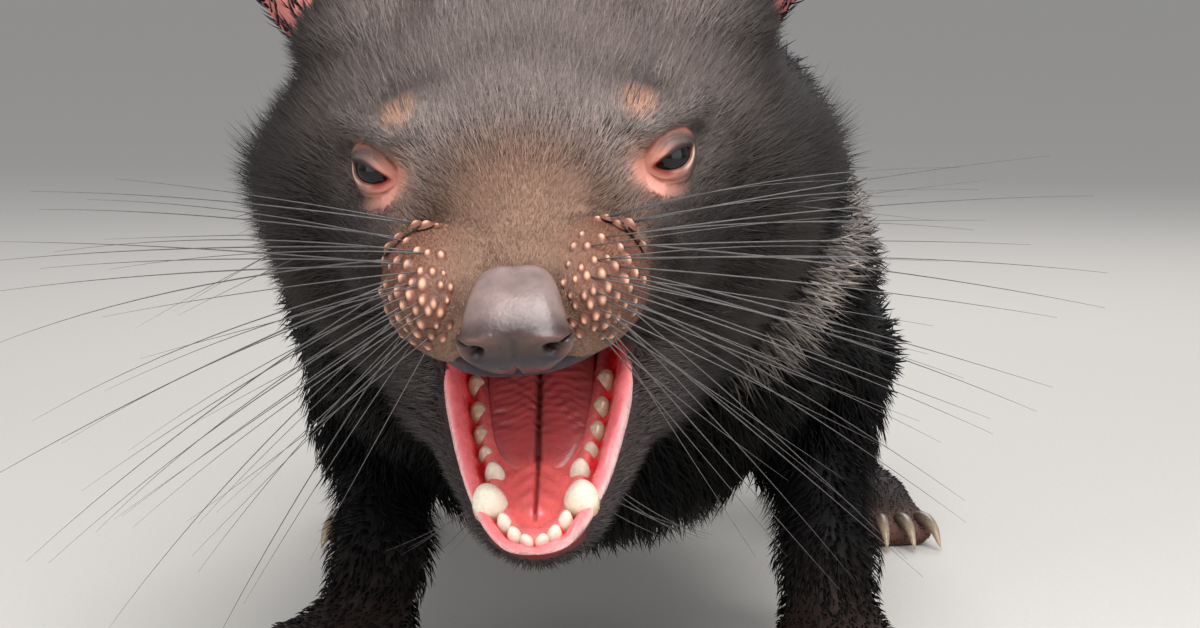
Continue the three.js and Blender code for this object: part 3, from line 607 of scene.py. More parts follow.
def tubes(paths, radii, sides):
    """Closed tubes along many paths at once: paths is (tubes, stations, 3) and radii (tubes, stations).

    Each station has a ring p + r(cos t u + sin t w) square to the path, and both ends are closed by
    a fan to the end point.
    """
    count, stations, _ = paths.shape
    along = unit(np.gradient(paths, axis=1))
    across = unit(np.cross(along, [0.31, 0.23, 0.92]))
    third = np.cross(along, across)
    turn = 2 * np.pi * np.arange(sides) / sides
    ring = across[:, :, None] * np.cos(turn)[:, None] + third[:, :, None] * np.sin(turn)[:, None]
    rings = paths[:, :, None] + radii[:, :, None, None] * ring
    points = np.concatenate([rings.reshape(count, -1, 3), paths[:, :1], paths[:, -1:]], 1)
    per = stations * sides + 2
    quads = grid_faces(stations, sides, wrap=True)
    s = np.arange(sides)
    beside = (s + 1) % sides
    last = (stations - 1) * sides
    first_fan = np.stack([np.full(sides, per - 2), beside, s], 1)
    last_fan = np.stack([np.full(sides, per - 1), last + s, last + beside], 1)
    offset = per * np.arange(count)[:, None, None]
    quads = (quads + offset).reshape(-1, 4)
    fans = (np.concatenate([first_fan, last_fan]) + offset).reshape(-1, 3)
    return points.reshape(-1, 3), quads, fans


def spline(controls, shares):
    """A smooth curve through rows of numbers at even shares (Catmull-Rom), read at shares from 0 to 1."""
    controls = np.asarray(controls, float)
    padded = np.concatenate([2 * controls[:1] - controls[1:2], controls, 2 * controls[-1:] - controls[-2:-1]])
    at = np.clip(np.asarray(shares, float), 0, 1) * (len(controls) - 1)
    n = np.minimum(at.astype(int), len(controls) - 2)
    t = (at - n)[:, None]
    a, b, c, d = (padded[n + k] for k in range(4))
    return 0.5 * (2 * b + (c - a) * t + (2 * a - 5 * b + 4 * c - d) * t**2 + (3 * b - a - 3 * c + d) * t**3)


# Materials


def node(tree, kind, inputs=None, **settings):
    """Adds a node. Settings are its own, and inputs are numbers, or the sockets that feed it."""
    made = tree.nodes.new(kind)
    for name, value in settings.items():
        setattr(made, name, value)
    for name, value in (inputs or {}).items():
        if isinstance(value, bpy.types.NodeSocket):
            tree.links.new(value, made.inputs[name])
        else:
            made.inputs[name].default_value = value
    return made


def new_material(name):
    """An empty material with its output, its Principled shader and its Object coordinates."""
    material = bpy.data.materials.new(name)
    material.use_nodes = True
    tree = material.node_tree
    tree.nodes.clear()
    shader = node(tree, "ShaderNodeBsdfPrincipled")
    node(tree, "ShaderNodeOutputMaterial", {"Surface": shader.outputs["BSDF"]})
    place_in = node(tree, "ShaderNodeTexCoord").outputs["Object"]
    return material, tree, shader, place_in


NOISE_ROUGHNESS = 0.55


def patches(tree, where, size_mm, low, high, detail=3.0, ends=(0.3, 0.7)):
    """A value that runs from low to high in random patches about size_mm across."""
    fine = {"Vector": where, "Scale": 1000 / size_mm, "Detail": detail, "Roughness": NOISE_ROUGHNESS}
    value = node(tree, "ShaderNodeTexNoise", fine).outputs["Fac"]
    span = {"Value": value, "From Min": ends[0], "From Max": ends[1], "To Min": low, "To Max": high}
    return node(tree, "ShaderNodeMapRange", span).outputs["Result"]


def coloured(tree, shader, shade, colour=None):
    """Gives the shader a colour, by default the one that the mesh carries, darker and lighter by a shade."""
    if colour is None:
        colour = node(tree, "ShaderNodeAttribute", attribute_name="marking").outputs["Color"]
    shaded = node(tree, "ShaderNodeVectorMath", {0: colour, "Scale": shade}, operation="SCALE")
    tree.links.new(shaded.outputs["Vector"], shader.inputs["Base Color"])


def relief(tree, shader, where, *layers):
    """Bump in layers, each a height and its depth in mm. A height that is a number is a grain's size in mm."""
    normal = None
    for height, depth_mm in layers:
        if not isinstance(height, bpy.types.NodeSocket):
            fine = {"Vector": where, "Scale": 1000 / height, "Detail": 3.0, "Roughness": NOISE_ROUGHNESS}
            height = node(tree, "ShaderNodeTexNoise", fine).outputs["Fac"]
        inputs = {"Height": height, "Distance": depth_mm / 1000, "Strength": 1.0}
        if normal is not None:
            inputs["Normal"] = normal
        normal = node(tree, "ShaderNodeBump", inputs).outputs["Normal"]
    tree.links.new(normal, shader.inputs["Normal"])


def finished(material, shader, values):
    """The material, with values set on its shader's own sockets."""
    for name, value in values.items():
        shader.inputs[name].default_value = value
    return material


def haired_skin():
    """Thin living skin under short hair: matt, with pores and fine creases about 0.9 mm apart."""
    material, tree, shader, where = new_material("haired skin")
    coloured(tree, shader, patches(tree, where, 9, 0.8, 1.15))
    tree.links.new(patches(tree, where, 4, 0.5, 0.68), shader.inputs["Roughness"])
    apart = {"Vector": where, "Scale": 1000 / 0.9}
    creases = node(tree, "ShaderNodeTexVoronoi", apart, feature="DISTANCE_TO_EDGE").outputs["Distance"]
    relief(tree, shader, where, (creases, 0.12), (0.45, 0.12))
    return finished(material, shader, {
        "Subsurface Weight": 0.12, "Subsurface Radius": (0.002, 0.0008, 0.0004), "Specular IOR Level": 0.12,
    })


def guard_hair():
    """Coarse guard hair: a keratin shaft with a soft shine, IOR 1.55."""
    material, tree, shader, where = new_material("guard hair")
    coloured(tree, shader, patches(tree, where, 1.2, 0.82, 1.18, detail=2.0))
    tree.links.new(patches(tree, where, 2.5, 0.5, 0.68), shader.inputs["Roughness"])
    return finished(material, shader, {"IOR": 1.55, "Specular IOR Level": 0.1})


def wet_skin(name, bump_mm, size_mm, gloss, depth, film=0.35):
    """Wet bare skin or gum: glossy under a film of wet, slightly see-through, with fine relief."""
    material, tree, shader, where = new_material(name)
    coloured(tree, shader, patches(tree, where, 5, 0.86, 1.12))
    rough = patches(tree, where, 2, gloss, gloss + 0.14, ends=(0.35, 0.65))
    tree.links.new(rough, shader.inputs["Roughness"])
    relief(tree, shader, where, (size_mm, bump_mm))
    return finished(material, shader, {
        "Subsurface Weight": depth, "Subsurface Radius": (0.003, 0.0008, 0.0006),
        "Coat Weight": film, "Coat Roughness": 0.12, "Specular IOR Level": 0.2 + 0.8 * film,
    })


def nose_leather():
    """The bare nose: pebbled skin, about 0.8 mm a pebble, moist with a soft gloss."""
    material, tree, shader, where = new_material("moist nose leather")
    coloured(tree, shader, patches(tree, where, 3.5, 0.8, 1.2))
    tree.links.new(patches(tree, where, 1.5, 0.26, 0.42), shader.inputs["Roughness"])
    apart = {"Vector": where, "Scale": 1000 / 0.8}
    pebbles = node(tree, "ShaderNodeTexVoronoi", apart, feature="SMOOTH_F1").outputs["Distance"]
    upside = {"Value": pebbles, "From Min": 0, "From Max": 0.8, "To Min": 1, "To Max": 0}
    raised = node(tree, "ShaderNodeMapRange", upside).outputs["Result"]
    relief(tree, shader, where, (raised, 0.05), (0.4, 0.02))
    return finished(material, shader, {"Coat Weight": 0.2, "Coat Roughness": 0.3, "Specular IOR Level": 0.3})


def eye_gloss():
    """A living eye: a dark iris under a clear wet cornea, IOR 1.376."""
    material, tree, shader, where = new_material("wet cornea")
    coloured(tree, shader, patches(tree, where, 0.6, 0.7, 1.3))
    return finished(material, shader, {
        "Roughness": 0.3, "Specular IOR Level": 0.05, "IOR": 1.376, "Coat Weight": 0.6, "Coat Roughness": 0.03,
    })


def enamel():
    """Tooth enamel: ivory, hard and glossy, yellower towards the gum, with faint growth lines."""
    material, tree, shader, where = new_material("tooth enamel")
    coloured(tree, shader, patches(tree, where, 1.1, 0.9, 1.06))
    tree.links.new(patches(tree, where, 0.8, 0.16, 0.32), shader.inputs["Roughness"])
    relief(tree, shader, where, (0.9, 0.05))
    return finished(material, shader, {
        "IOR": 1.62, "Subsurface Weight": 0.2, "Subsurface Radius": (0.001, 0.0008, 0.0006),
    })


def horn(name, rough):
    """Keratin horn of a claw or a whisker: glossy and finely streaked."""
    material, tree, shader, where = new_material(name)
    coloured(tree, shader, patches(tree, where, 1.0, 0.75, 1.2, detail=2.0))
    tree.links.new(patches(tree, where, 0.7, rough, rough + 0.15), shader.inputs["Roughness"])
    relief(tree, shader, where, (0.5, 0.03))
    return finished(material, shader, {"IOR": 1.55})


def paper_floor():
    """Seamless studio paper: pale and matt, with a faint fibre about 1.5 mm across."""
    material, tree, shader, where = new_material("studio paper")
    flat = node(tree, "ShaderNodeRGB").outputs["Color"]
    flat.default_value = (*bpy.context.scene.devil_stage.floor, 1)
    coloured(tree, shader, patches(tree, where, 1.5, 0.97, 1.03), flat)
    return finished(material, shader, {"Roughness": 0.9})


# Markings and painted light: the same for the skin and for the tufts on it


def eye_places():
    return [np.array([s * EYE_SIDE, EYE_BACK, 0.0]) for s in (-1, 1)]


def near(points, at, size, core=0.6, edge=1.1):
    """1 inside an ellipsoid, falling to 0 outside it."""
    return smooth(edge, core, np.linalg.norm((points - np.array(at)) / np.array(size), axis=1))


def bare(points):
    """Where the skin has no tufts: 1 on lids, nose, lips, mouth and soles."""
    q, j = into(head_frame(), points), into(jaw_frame(), points)
    off = np.zeros(len(points))
    for side in (-1, 1):
        off = np.maximum(off, near(q, (side * 26.6, -4, -1.4), (8, 12, 6.2), 0.7, 1.0))
    off = np.maximum(off, near(q, (1.5, -56, -19.5), (10.2, 8.5, 8.5), 0.95, 1.0))
    inner = mouth_share(q, j)
    off = np.maximum(off, smooth(0.4, 0.6, inner))
    return np.maximum(off, smooth(2.5, 1.0, points[:, 2]))


def mouth_share(q, j):
    """1 in the mouth: between the lips of the lower jaw, or under the palate between the upper lips."""
    width = lip_edge(j[:, 1])
    low = smooth(width - 0.8, width - 1.8, np.abs(j[:, 0])) * smooth(-7, -5, j[:, 2]) * smooth(10, 8, j[:, 2])
    low = low * smooth(-95.5, -94, j[:, 1]) * smooth(-20, -28, j[:, 1])
    high = near(q, (0, -14, -35), (16.5, 40.5, 13), 0.95, 1.05) * smooth(-30, -31, q[:, 2])
    high = np.maximum(high, near(q, (0, -14, -31), (15.5, 39, 12), 0.93, 1.0))
    back = near(q, (0, 14, -39), (17, 30, 12), 0.9, 1.0)
    return np.maximum(np.maximum(low, high), back)


def blended(palette, weight, under, root, tip):
    """A palette of three colours, moved towards another by a weight for each point."""
    w = weight[:, None]
    return [mixed(old, np.array(new), w) for old, new in zip(palette, (under, root, tip))]


def markings_and_painted_light(points):
    """Linear colours of the skin, and of a tuft's root and tip there: markings, with painted sheen on the crown and
    painted shade in the crease by each eye.
    """
    paint = colours()
    q, j = into(head_frame(), points), into(jaw_frame(), points)
    x, y, z = q.T
    away = np.abs(x)
    full = np.ones((len(points), 3))
    palette = [full * linear("#121010"), full * linear("#080707"), full * np.array(paint.coat)]
    face = smooth(70, 48, y) * smooth(-70, -45, z)
    palette = blended(palette, face * 0.9, linear("#2a2524"), linear("#1b1817"), linear("#4b4644"))
    # Painted sheen: grey tips and paler skin over the forehead, for light from above on dark hair.
    crown = smooth(48, 26, away) * smooth(-14, 2, z) * smooth(-24, -12, y) * smooth(64, 30, y)
    palette = blended(palette, crown, linear("#504744"), linear("#453e3d"), paint.crown)
    snout = smooth(-9, -24, y) * smooth(30, 22, away) * smooth(-42, -32, z)
    palette = blended(palette, snout, linear("#7d6253"), linear("#755b4d"), paint.snout)
    round_nose = near(q, NOSE["at"], np.array(NOSE["size"]) + 4, 0.75, 1.1)
    palette = blended(palette, round_nose * 0.7, linear("#5b463c"), linear("#4c3a31"), linear("#7f6557"))
    for side in (-1, 1):
        pad = near(q, (side * 20, -36, -15), (12, 18, 14), 0.6, 1.15)
        palette = blended(palette, pad * 0.85, linear("#704637"), linear("#593a2e"), linear("#8e6350"))
        # Painted shade: a darker streak from the eye's inner corner up over the lid, for the shaded crease in the
        # fur.
        crease = near(q, (side * 21.5, -5, 6.0), (6, 8, 3.4), 0.2, 1.2)
        palette = blended(palette, crease * 0.75, linear("#2a2120"), linear("#1c1615"), linear("#3b3230"))
        lid = near(q, (side * 25.8, -5, -1.4), (10.2, 12, 8.4), 0.45, 1.12)
        pink = mixed(np.array(paint.lid), np.array(linear("#7a564a")), smooth(0.5, 6.0, z)[:, None])
        palette = blended(palette, lid, pink, linear("#866052"), linear("#b58a79"))
        spot = near(q, (side * 24, -5, 11.5), (4.2, 8, 3.6), 0.3, 1.2)
        palette = blended(palette, spot * 0.75, linear("#c28a70"), linear("#a8745c"), linear("#cfa085"))
    lip_front = near(q, (1, -54, -30), (15, 10, 5.5), 0.7, 1.15)
    palette = blended(palette, lip_front * 0.9, linear("#2b232c"), linear("#261f22"), linear("#473c3c"))
    edge = smooth(30, 22, np.abs(j[:, 0])) * smooth(-13, -5, j[:, 2])
    edge = edge * smooth(-26, -50, j[:, 1]) * smooth(12, 6, j[:, 2])
    palette = blended(palette, edge * 0.7, linear("#4a3a39"), linear("#2a2524"), linear("#7d7472"))
    band = shoulder_band(points)
    palette = blended(palette, band, linear("#4f4845"), linear("#6f6863"), paint.band)
    paw = smooth(40, 22, points[:, 2])
    palette = blended(palette, paw * 0.6, linear("#332723"), linear("#151211"), linear("#262120"))
    toe = smooth(13, 6, points[:, 2])
    palette = blended(palette, toe * 0.75, linear("#74524a"), linear("#231d1c"), linear("#3f3634"))
    palette[0] = mixed(palette[0], np.array(linear("#7c262c")), mouth_share(q, j)[:, None])
    return palette


def shoulder_band(points):
    """The pale band: from the left shoulder forwards and down across the chest, then fading."""
    start, middle, end = np.array([[68, 160, 129], [46, 98, 102], [31, 88, 88]], float)
    weight = np.zeros(len(points))
    for a, b, start_strength, end_strength in ((start, middle, 0.0, 0.95), (middle, end, 0.95, 0.25)):
        share = np.clip((points - a) @ (b - a) / ((b - a) @ (b - a)), 0, 1)
        off = np.linalg.norm(points - a - share[:, None] * (b - a), axis=1)
        weight = np.maximum(weight, mixed(start_strength, end_strength, share**0.6) * smooth(10, 3, off))
    return weight


# The skin


def skin_mesh():
    """The skin's points and quads, under the coat by the coat's depth, and kept over the floor.

    The grid's lines are closest over the head and furthest apart over the tail.
    """
    groups = body_groups()
    coarse = 1.0
    across = np.arange(-104, 104, 2.0 * coarse)
    up = np.arange(-3, 192, 2.0 * coarse)
    back = np.concatenate([
        np.arange(-68, 84, 1.8 * coarse), np.arange(84, 420, 2.7 * coarse), np.arange(420, 668, 4.5 * coarse)
    ])

    def floored(points):
        return np.maximum(body_field(points, groups), 0.25 - points[:, 2])

    points, faces = surface_net(floored, (across, back, up))
    return settled(floored, points), faces


def normals_of(points, faces):
    """Unit normals at the points, from quads."""
    a, b, c, d = (points[faces[:, n]] for n in range(4))
    face = np.cross(c - a, d - b)
    total = np.zeros_like(points)
    for n in range(4):
        np.add.at(total, faces[:, n], face)
    return unit(total)


def read_mesh(name):
    """A placed piece's points in mm in the animal's frame, and its quads."""
    mesh = bpy.data.objects[name].data
    points = np.empty(len(mesh.vertices) * 3, np.float32)
    mesh.vertices.foreach_get("co", points)
    faces = np.empty(len(mesh.loops), np.int32)
    mesh.loops.foreach_get("vertex_index", faces)
    return points.reshape(-1, 3).astype(float) * 1000 - row_shift(), faces.reshape(-1, 4)


FLESH = (
    "head", "jaw", "neck", "torso", "foreleg_left", "foreleg_right", "forepaw_left", "forepaw_right",
    "hindleg_left", "hindleg_right", "hindpaw_left", "hindpaw_right", "tail_root", "tail_tip",
    "whisker_pad_left", "whisker_pad_right",
)


class DEVIL_OT_skin(bpy.types.Operator):
    """Make the skin that carries the whole animal"""

    bl_idname = "devil.skin"
    bl_label = "Skin"

    def execute(self, context):
        points, faces = skin_mesh()
        under, _, _ = markings_and_painted_light(points)
        place("skin", points, faces, haired_skin(), "coat", replaces=FLESH, marking=under)
        return {"FINISHED"}


# The coat


def lie(points, normals):
    """The coat's direction along the skin.

    On the head it runs away from the nose, on the jaw away from the chin, on the trunk backwards
    and a little down, down the legs, forwards over the paws and along the tail.
    """
    q, j = into(head_frame(), points), into(jaw_frame(), points)
    head, jaw = head_frame(), jaw_frame()
    flow = np.tile([0.0, 1.0, -0.22], (len(points), 1))
    from_nose = unit((q - [0, -66, -22]) * [1, 1, 1.25]) @ head[:3, :3].T
    from_chin = unit((j - [0, -112, 4]) * [1.6, 1, 1.2]) @ jaw[:3, :3].T
    on_head = smooth(92, 56, q[:, 1])
    flow = mixed(flow, from_nose, on_head[:, None])
    on_jaw = smooth(6, -4, j[:, 2]) * smooth(10, -14, j[:, 1]) * on_head
    flow = mixed(flow, from_chin, on_jaw[:, None])
    for _, side, paw, joint, turn in PAWS:
        at = joint_at(joint, side)
        axis = np.hypot(points[:, 0] - at[0], points[:, 1] - at[1] - 0.5 * (points[:, 2] - joint["up"]))
        on_leg = smooth(40, 24, axis) * smooth(92, 66, points[:, 2])
        flow = mixed(flow, np.array([0.0, 0.1, -1.0]), on_leg[:, None])
        ahead = paw_frame(side, joint, turn)[:3, :3] @ [0, -1, -0.35]
        on_paw = near(points - [0, -18, 0], at, (34, 60, 60), 0.9, 1.0) * smooth(34, 20, points[:, 2])
        flow = mixed(flow, ahead, on_paw[:, None])
    tail = unit(np.array(TAIL_END, float) - TAIL_START)
    flow = mixed(flow, tail, smooth(400, 440, points[:, 1])[:, None])
    flow = unit(flow)
    return unit(flow - normals * (flow * normals).sum(1, keepdims=True))


def ruff(points):
    """How much longer the coat is on the cheeks, where it stands out to a point."""
    q = into(head_frame(), points)
    q[:, 0] = np.abs(q[:, 0])
    return 0.9 * near(q, (56, 38, -10), (12, 20, 11), 0.2, 1.1)


def scattered(points, faces, density, count, rng):
    """Roots spread over a mesh of quads: where each is, and its normal."""
    a, b, c, d = (points[faces[:, n]] for n in range(4))
    area = 0.5 * np.linalg.norm(np.cross(c - a, d - b), axis=1)
    middle = (a + b + c + d) / 4
    weight = np.cumsum(area * density(middle))
    if weight[-1] <= 0:
        raise RuntimeError("there is no skin here for a coat")
    picks = (np.arange(count) + rng.random(count)) / count * weight[-1]
    chosen = np.minimum(np.searchsorted(weight, picks), len(faces) - 1)
    u, v = rng.random((2, count, 1))
    normals = normals_of(points, faces)
    at = mixed(mixed(a[chosen], b[chosen], u), mixed(d[chosen], c[chosen], u), v)
    corner = [normals[faces[chosen, n]] for n in range(4)]
    normal = unit(mixed(mixed(corner[0], corner[1], u), mixed(corner[3], corner[2], u), v))
    return at, normal


def tuft_shapes(roots, normals, flow, length, width, lift, bent, rng):
    """Closed three-sided spikes: a root ring, a ring halfway that bends towards the skin, and a tip.

    Each lies along the flow f and rises by its lift: p + L(f cos a + n sin a), with a halved
    beyond the middle. Unbent ones have no ring halfway.
    """
    count = len(roots)
    side = np.cross(normals, flow)
    first = lift * rng.uniform(0.75, 1.3, (count, 1))
    second = first * rng.uniform(0.25, 0.6, (count, 1))
    half = length[:, None] / 2
    start = roots - normals * np.minimum(0.35, length[:, None] * 0.12)
    middle = roots + half * (flow * np.cos(first) + normals * np.sin(first))
    sway = rng.normal(0, 0.1, (count, 1))
    tip = middle + half * (unit(flow + side * sway) * np.cos(second) + normals * np.sin(second))
    turn = np.array([0.5, 7 / 6, 11 / 6]) * np.pi
    wide, high = np.cos(turn)[:, None], np.sin(turn)[:, None] * 0.55
    ring = side[:, None] * wide + normals[:, None] * high
    reach = width[:, None, None] * ring / 2
    if not bent:
        return np.concatenate([start[:, None] + reach, tip[:, None]], 1)
    return np.concatenate([start[:, None] + reach, middle[:, None] + 0.82 * reach, tip[:, None]], 1)


TUFT_QUADS = np.array([[0, 1, 4, 3], [1, 2, 5, 4], [2, 0, 3, 5]])[:, ::-1]
TUFT_TRIANGLES = np.array([[3, 4, 6], [4, 5, 6], [5, 3, 6], [0, 2, 1]])[:, ::-1]
SPIKE_TRIANGLES = np.array([[0, 1, 3], [1, 2, 3], [2, 0, 3], [0, 2, 1]])[:, ::-1]
TUFT_PATCH = 0.003
OVER_FLOOR = 0.2  # the lowest that a tuft goes


def coat_piece(name, roots, normals, flow, length, width, palette, bent=True, lift=None):
    """One piece of coat, with its colours and its unwrap."""
    rng = np.random.default_rng(SEED + sum(map(ord, name)))
    coat = bpy.context.scene.devil_coat
    turn = rng.normal(0, coat.spread, (len(roots), 1))
    flow = unit(flow * np.cos(turn) + np.cross(normals, flow) * np.sin(turn))
    if lift is None:
        lift = coat.lift * (0.5 + 0.5 * smooth(1.5, 5, length))[:, None]
    points = tuft_shapes(roots, normals, flow, length, width, lift, bent, rng)
    points[..., 2] = np.maximum(points[..., 2], OVER_FLOOR)
    count, per, _ = points.shape
    shade = np.exp(rng.normal(0, 0.22, (count, 1)))
    _, root, tip = (p * shade for p in palette)
    share = np.array([0, 0, 0, 0.55, 0.55, 0.55, 1]) if bent else np.array([0, 0, 0, 1])
    tone = mixed(root[:, None], tip[:, None], share[None, :, None])
    offset = per * np.arange(count)[:, None, None]
    faces = [TUFT_QUADS, TUFT_TRIANGLES] if bent else [SPIKE_TRIANGLES]
    faces = [(f + offset).reshape(-1, f.shape[1]) for f in faces]
    made = place(name, points.reshape(-1, 3), faces, coat_material(), "coat", marking=tone.reshape(-1, 3))
    lay_out(made, unrolled(roots), faces, share)
    return made


def coat_material():
    return bpy.data.materials.get("guard hair") or guard_hair()


def unrolled(roots):
    """A place from 0 to 1 for each root on the skin unrolled about the length of the body.

    Across is the angle round the axis from the nose to the tail, and up is the way along it.
    """
    low, high = roots[:, 1].min(), roots[:, 1].max()
    middle_x = np.interp(roots[:, 1], [-60, 0, 120, 400, 660], [-18, -15, -8, 5, 12])
    middle_z = np.interp(roots[:, 1], [-60, 0, 120, 400, 660], [112, 125, 100, 100, 58])
    angle = np.arctan2(roots[:, 0] - middle_x, roots[:, 2] - middle_z)
    place_u = 0.5 + angle / (2 * np.pi)
    place_v = (roots[:, 1] - low) / max(high - low, 1e-6)
    return np.stack([place_u, place_v], 1) * 0.99 + 0.005


def lay_out(made, where, faces, share):
    """The OFBake map: each tuft is a patch about 0.003 across at its root's place."""
    across = np.array([-1, 1, 0, -1, 1, 0, 0]) if len(share) == 7 else np.array([-1, 1, 0, 0])
    local = np.stack([across, 2 * share - 1], 1) * TUFT_PATCH / 2
    uv = (where[:, None] + local).reshape(-1, 2)
    corners = np.concatenate([f.ravel() for f in faces])
    layer = made.data.uv_layers.new(name="OFBake")
    layer.data.foreach_set("uv", uv[corners].astype(np.float32).ravel())


BROW_FRONT = -10  # in the head's frame, as the head's back is
HEAD_BACK = 66
LEG_TOP = 52
RUMP_END = 430


def within(values, low, high):
    """Where values are at least low and under high."""
    return (values >= low) & (values < high)


def coat_regions():
    """Each piece of coat: its name, a test on points, its count of tufts, their width in mm, and if they bend.

    The test gets points of the animal, and the same points in the head's and the jaw's frame.
    """
    return (
        ("coat_snout", lambda p, q, j: (q[:, 1] < BROW_FRONT) & (q[:, 2] > -34), 36000, 0.28, False),
        ("coat_brow", lambda p, q, j: within(q[:, 1], BROW_FRONT, 16) & (q[:, 2] > -6), 36000, 0.3, False),
        ("coat_crown", lambda p, q, j: within(q[:, 1], 16, HEAD_BACK) & (q[:, 2] > 2), 42000, 0.38, False),
        ("coat_cheeks", lambda p, q, j: within(q[:, 1], BROW_FRONT, HEAD_BACK) & (j[:, 2] > 2), 45000, 0.42, False),
        ("coat_jaw", lambda p, q, j: (q[:, 1] < HEAD_BACK) & (j[:, 2] <= 2), 34000, 0.34, False),
        ("coat_neck", lambda p, q, j: (q[:, 1] >= HEAD_BACK) & (p[:, 1] < 130), 14000, 0.75, True),
        ("coat_shoulders", lambda p, q, j: within(p[:, 1], 130, 215) & (p[:, 2] > LEG_TOP), 13000, 0.85, True),
        ("coat_belly", lambda p, q, j: within(p[:, 1], 215, 325) & (p[:, 2] > LEG_TOP), 10500, 1.05, True),
        ("coat_rump", lambda p, q, j: within(p[:, 1], 325, RUMP_END) & (p[:, 2] > LEG_TOP), 10500, 1.05, True),
        ("coat_legs", lambda p, q, j: within(p[:, 1], 84, RUMP_END) & (p[:, 2] <= LEG_TOP), 26000, 0.6, False),
        ("coat_tail", lambda p, q, j: p[:, 1] >= RUMP_END, 5500, 0.95, True),
    )


def region_of(points):
    """The number of the first region that each point is in."""
    q, j = into(head_frame(), points), into(jaw_frame(), points)
    found = np.full(len(points), -1)
    for n, (_, test, *_) in enumerate(coat_regions()):
        found = np.where((found < 0) & test(points, q, j), n, found)
    return found


class DEVIL_OT_coat(bpy.types.Operator):
    """Make the coat: thousands of thin tufts that lie along the skin"""

    bl_idname = "devil.coat"
    bl_label = "Coat"

    def execute(self, context):
        points, faces = read_mesh("skin")
        groups = body_groups()
        middle = points[faces].mean(1)
        region = region_of(middle)
        for n, (name, _, count, width, bent) in enumerate(coat_regions()):
            rng = np.random.default_rng(SEED + n)
            own = region == n
            count = int(count * context.scene.devil_coat.density * (1))
            roots, normals = scattered(points, faces[own], lambda p: 1 - bare(p), count, rng)
            _, depth = body_field(roots, groups, with_coat=True)
            length = np.maximum(1.1, 2.1 * depth) * rng.uniform(0.75, 1.25, count) * (1 + ruff(roots))
            thick = width * rng.uniform(0.7, 1.3, count)
            coat_piece(name, roots, normals, lie(roots, normals), length, thick, markings_and_painted_light(roots), bent)
        return {"FINISHED"}


# Eyes and lids


def gaze_axes(side):
    """The way the eye looks, what is sideways of it (outwards) and what is above it."""
    turn, rise = np.radians([GAZE_OUT, GAZE_UP])
    look = np.array([side * np.sin(turn) * np.cos(rise), -np.cos(turn) * np.cos(rise), np.sin(rise)])
    out = unit(np.cross(look, [0, 0, 1]) * -side)
    over = np.cross(out, look) * -side
    over = over * np.sign(over[2])
    return look, out, over


def ways_round(side, polar, turn):
    """Ways out of the eye, at an angle to the gaze and a turn about it, both in radians."""
    look, out, over = gaze_axes(side)
    return (
        np.cos(polar)[..., None] * look
        + (np.sin(polar) * np.cos(turn))[..., None] * out
        + (np.sin(polar) * np.sin(turn))[..., None] * over
    )


def cornea(radius, degrees):
    """The eyeball's radius at an angle to the gaze: R, and 0.07R more towards the middle of the cornea."""
    return radius * (1 + 0.07 * smooth(44, 12, degrees))


def eyeball(side):
    """A sphere with a bulged cornea, its iris and its pupil painted on it."""
    radius = mm(sizes().eye_radius)
    rows, columns = 40, 48
    polar = np.linspace(0, np.pi, rows)[:, None]
    turn = 2 * np.pi * np.arange(columns)[None] / columns
    angle = np.degrees(polar) + 0 * turn
    bulge = cornea(radius, angle)
    points = eye_places()[(side + 1) // 2] + bulge[..., None] * ways_round(side, polar, turn)
    iris = smooth(33, 30, angle)
    pupil = smooth(17, 14, angle)
    tone = mixed(np.array(linear("#241512")), np.array(linear("#0e0a0a")), iris[..., None])
    tone = mixed(tone, np.array(linear("#030304")), pupil[..., None])
    return points.reshape(-1, 3), grid_faces(rows, columns, wrap=True), tone.reshape(-1, 3)


def facing_out(points, faces, inside):
    """Quads turned so that they face away from a point inside."""
    a, b, c, d = (points[faces[:, n]] for n in range(4))
    face = np.cross(c - a, d - b)
    outward = ((points[faces].mean(1) - inside) * face).sum(1).sum()
    return faces if outward > 0 else faces[:, ::-1]


class DEVIL_OT_eyes(bpy.types.Operator):
    """Make the eyeballs"""

    bl_idname = "devil.eyes"
    bl_label = "Eyes"

    def execute(self, context):
        material = eye_gloss()
        for side, label in ((-1, "right"), (1, "left")):
            points, faces, tone = eyeball(side)
            faces = facing_out(points, faces, eye_places()[(side + 1) // 2])
            points, faces, tone = welded(points, faces, tone)
            points = out_of(head_frame(), points)
            name = "eye_" + label
            place("eyeball_" + label, points, faces, material, "eye", replaces=(name,), marking=tone)
        return {"FINISHED"}


def skin_reach(start, ways, groups, most=22.0):
    """How far the skin is from a point along each way, by halving."""
    low = np.zeros(len(ways))
    high = np.full(len(ways), most)
    head = head_frame()
    for _ in range(14):
        middle = (low + high) / 2
        inside = body_field(out_of(head, start + middle[:, None] * ways), groups) < 0
        low = np.where(inside, middle, low)
        high = np.where(inside, high, middle)
    return (low + high) / 2


LID_TILT = 15  # degrees that the outer corner is higher


def lid_opening(turn):
    """Polar angle in degrees of the lids' edge round the gaze: pointed at the corners, heavier above."""
    turn = turn - np.radians(LID_TILT)
    up = np.sin(turn)
    wide, tall = 40.0, np.where(up > 0, 10.0, 18.0)
    return ((np.abs(np.cos(turn)) / wide) ** 1.8 + (np.abs(up) / tall) ** 1.8) ** (-1 / 1.8)


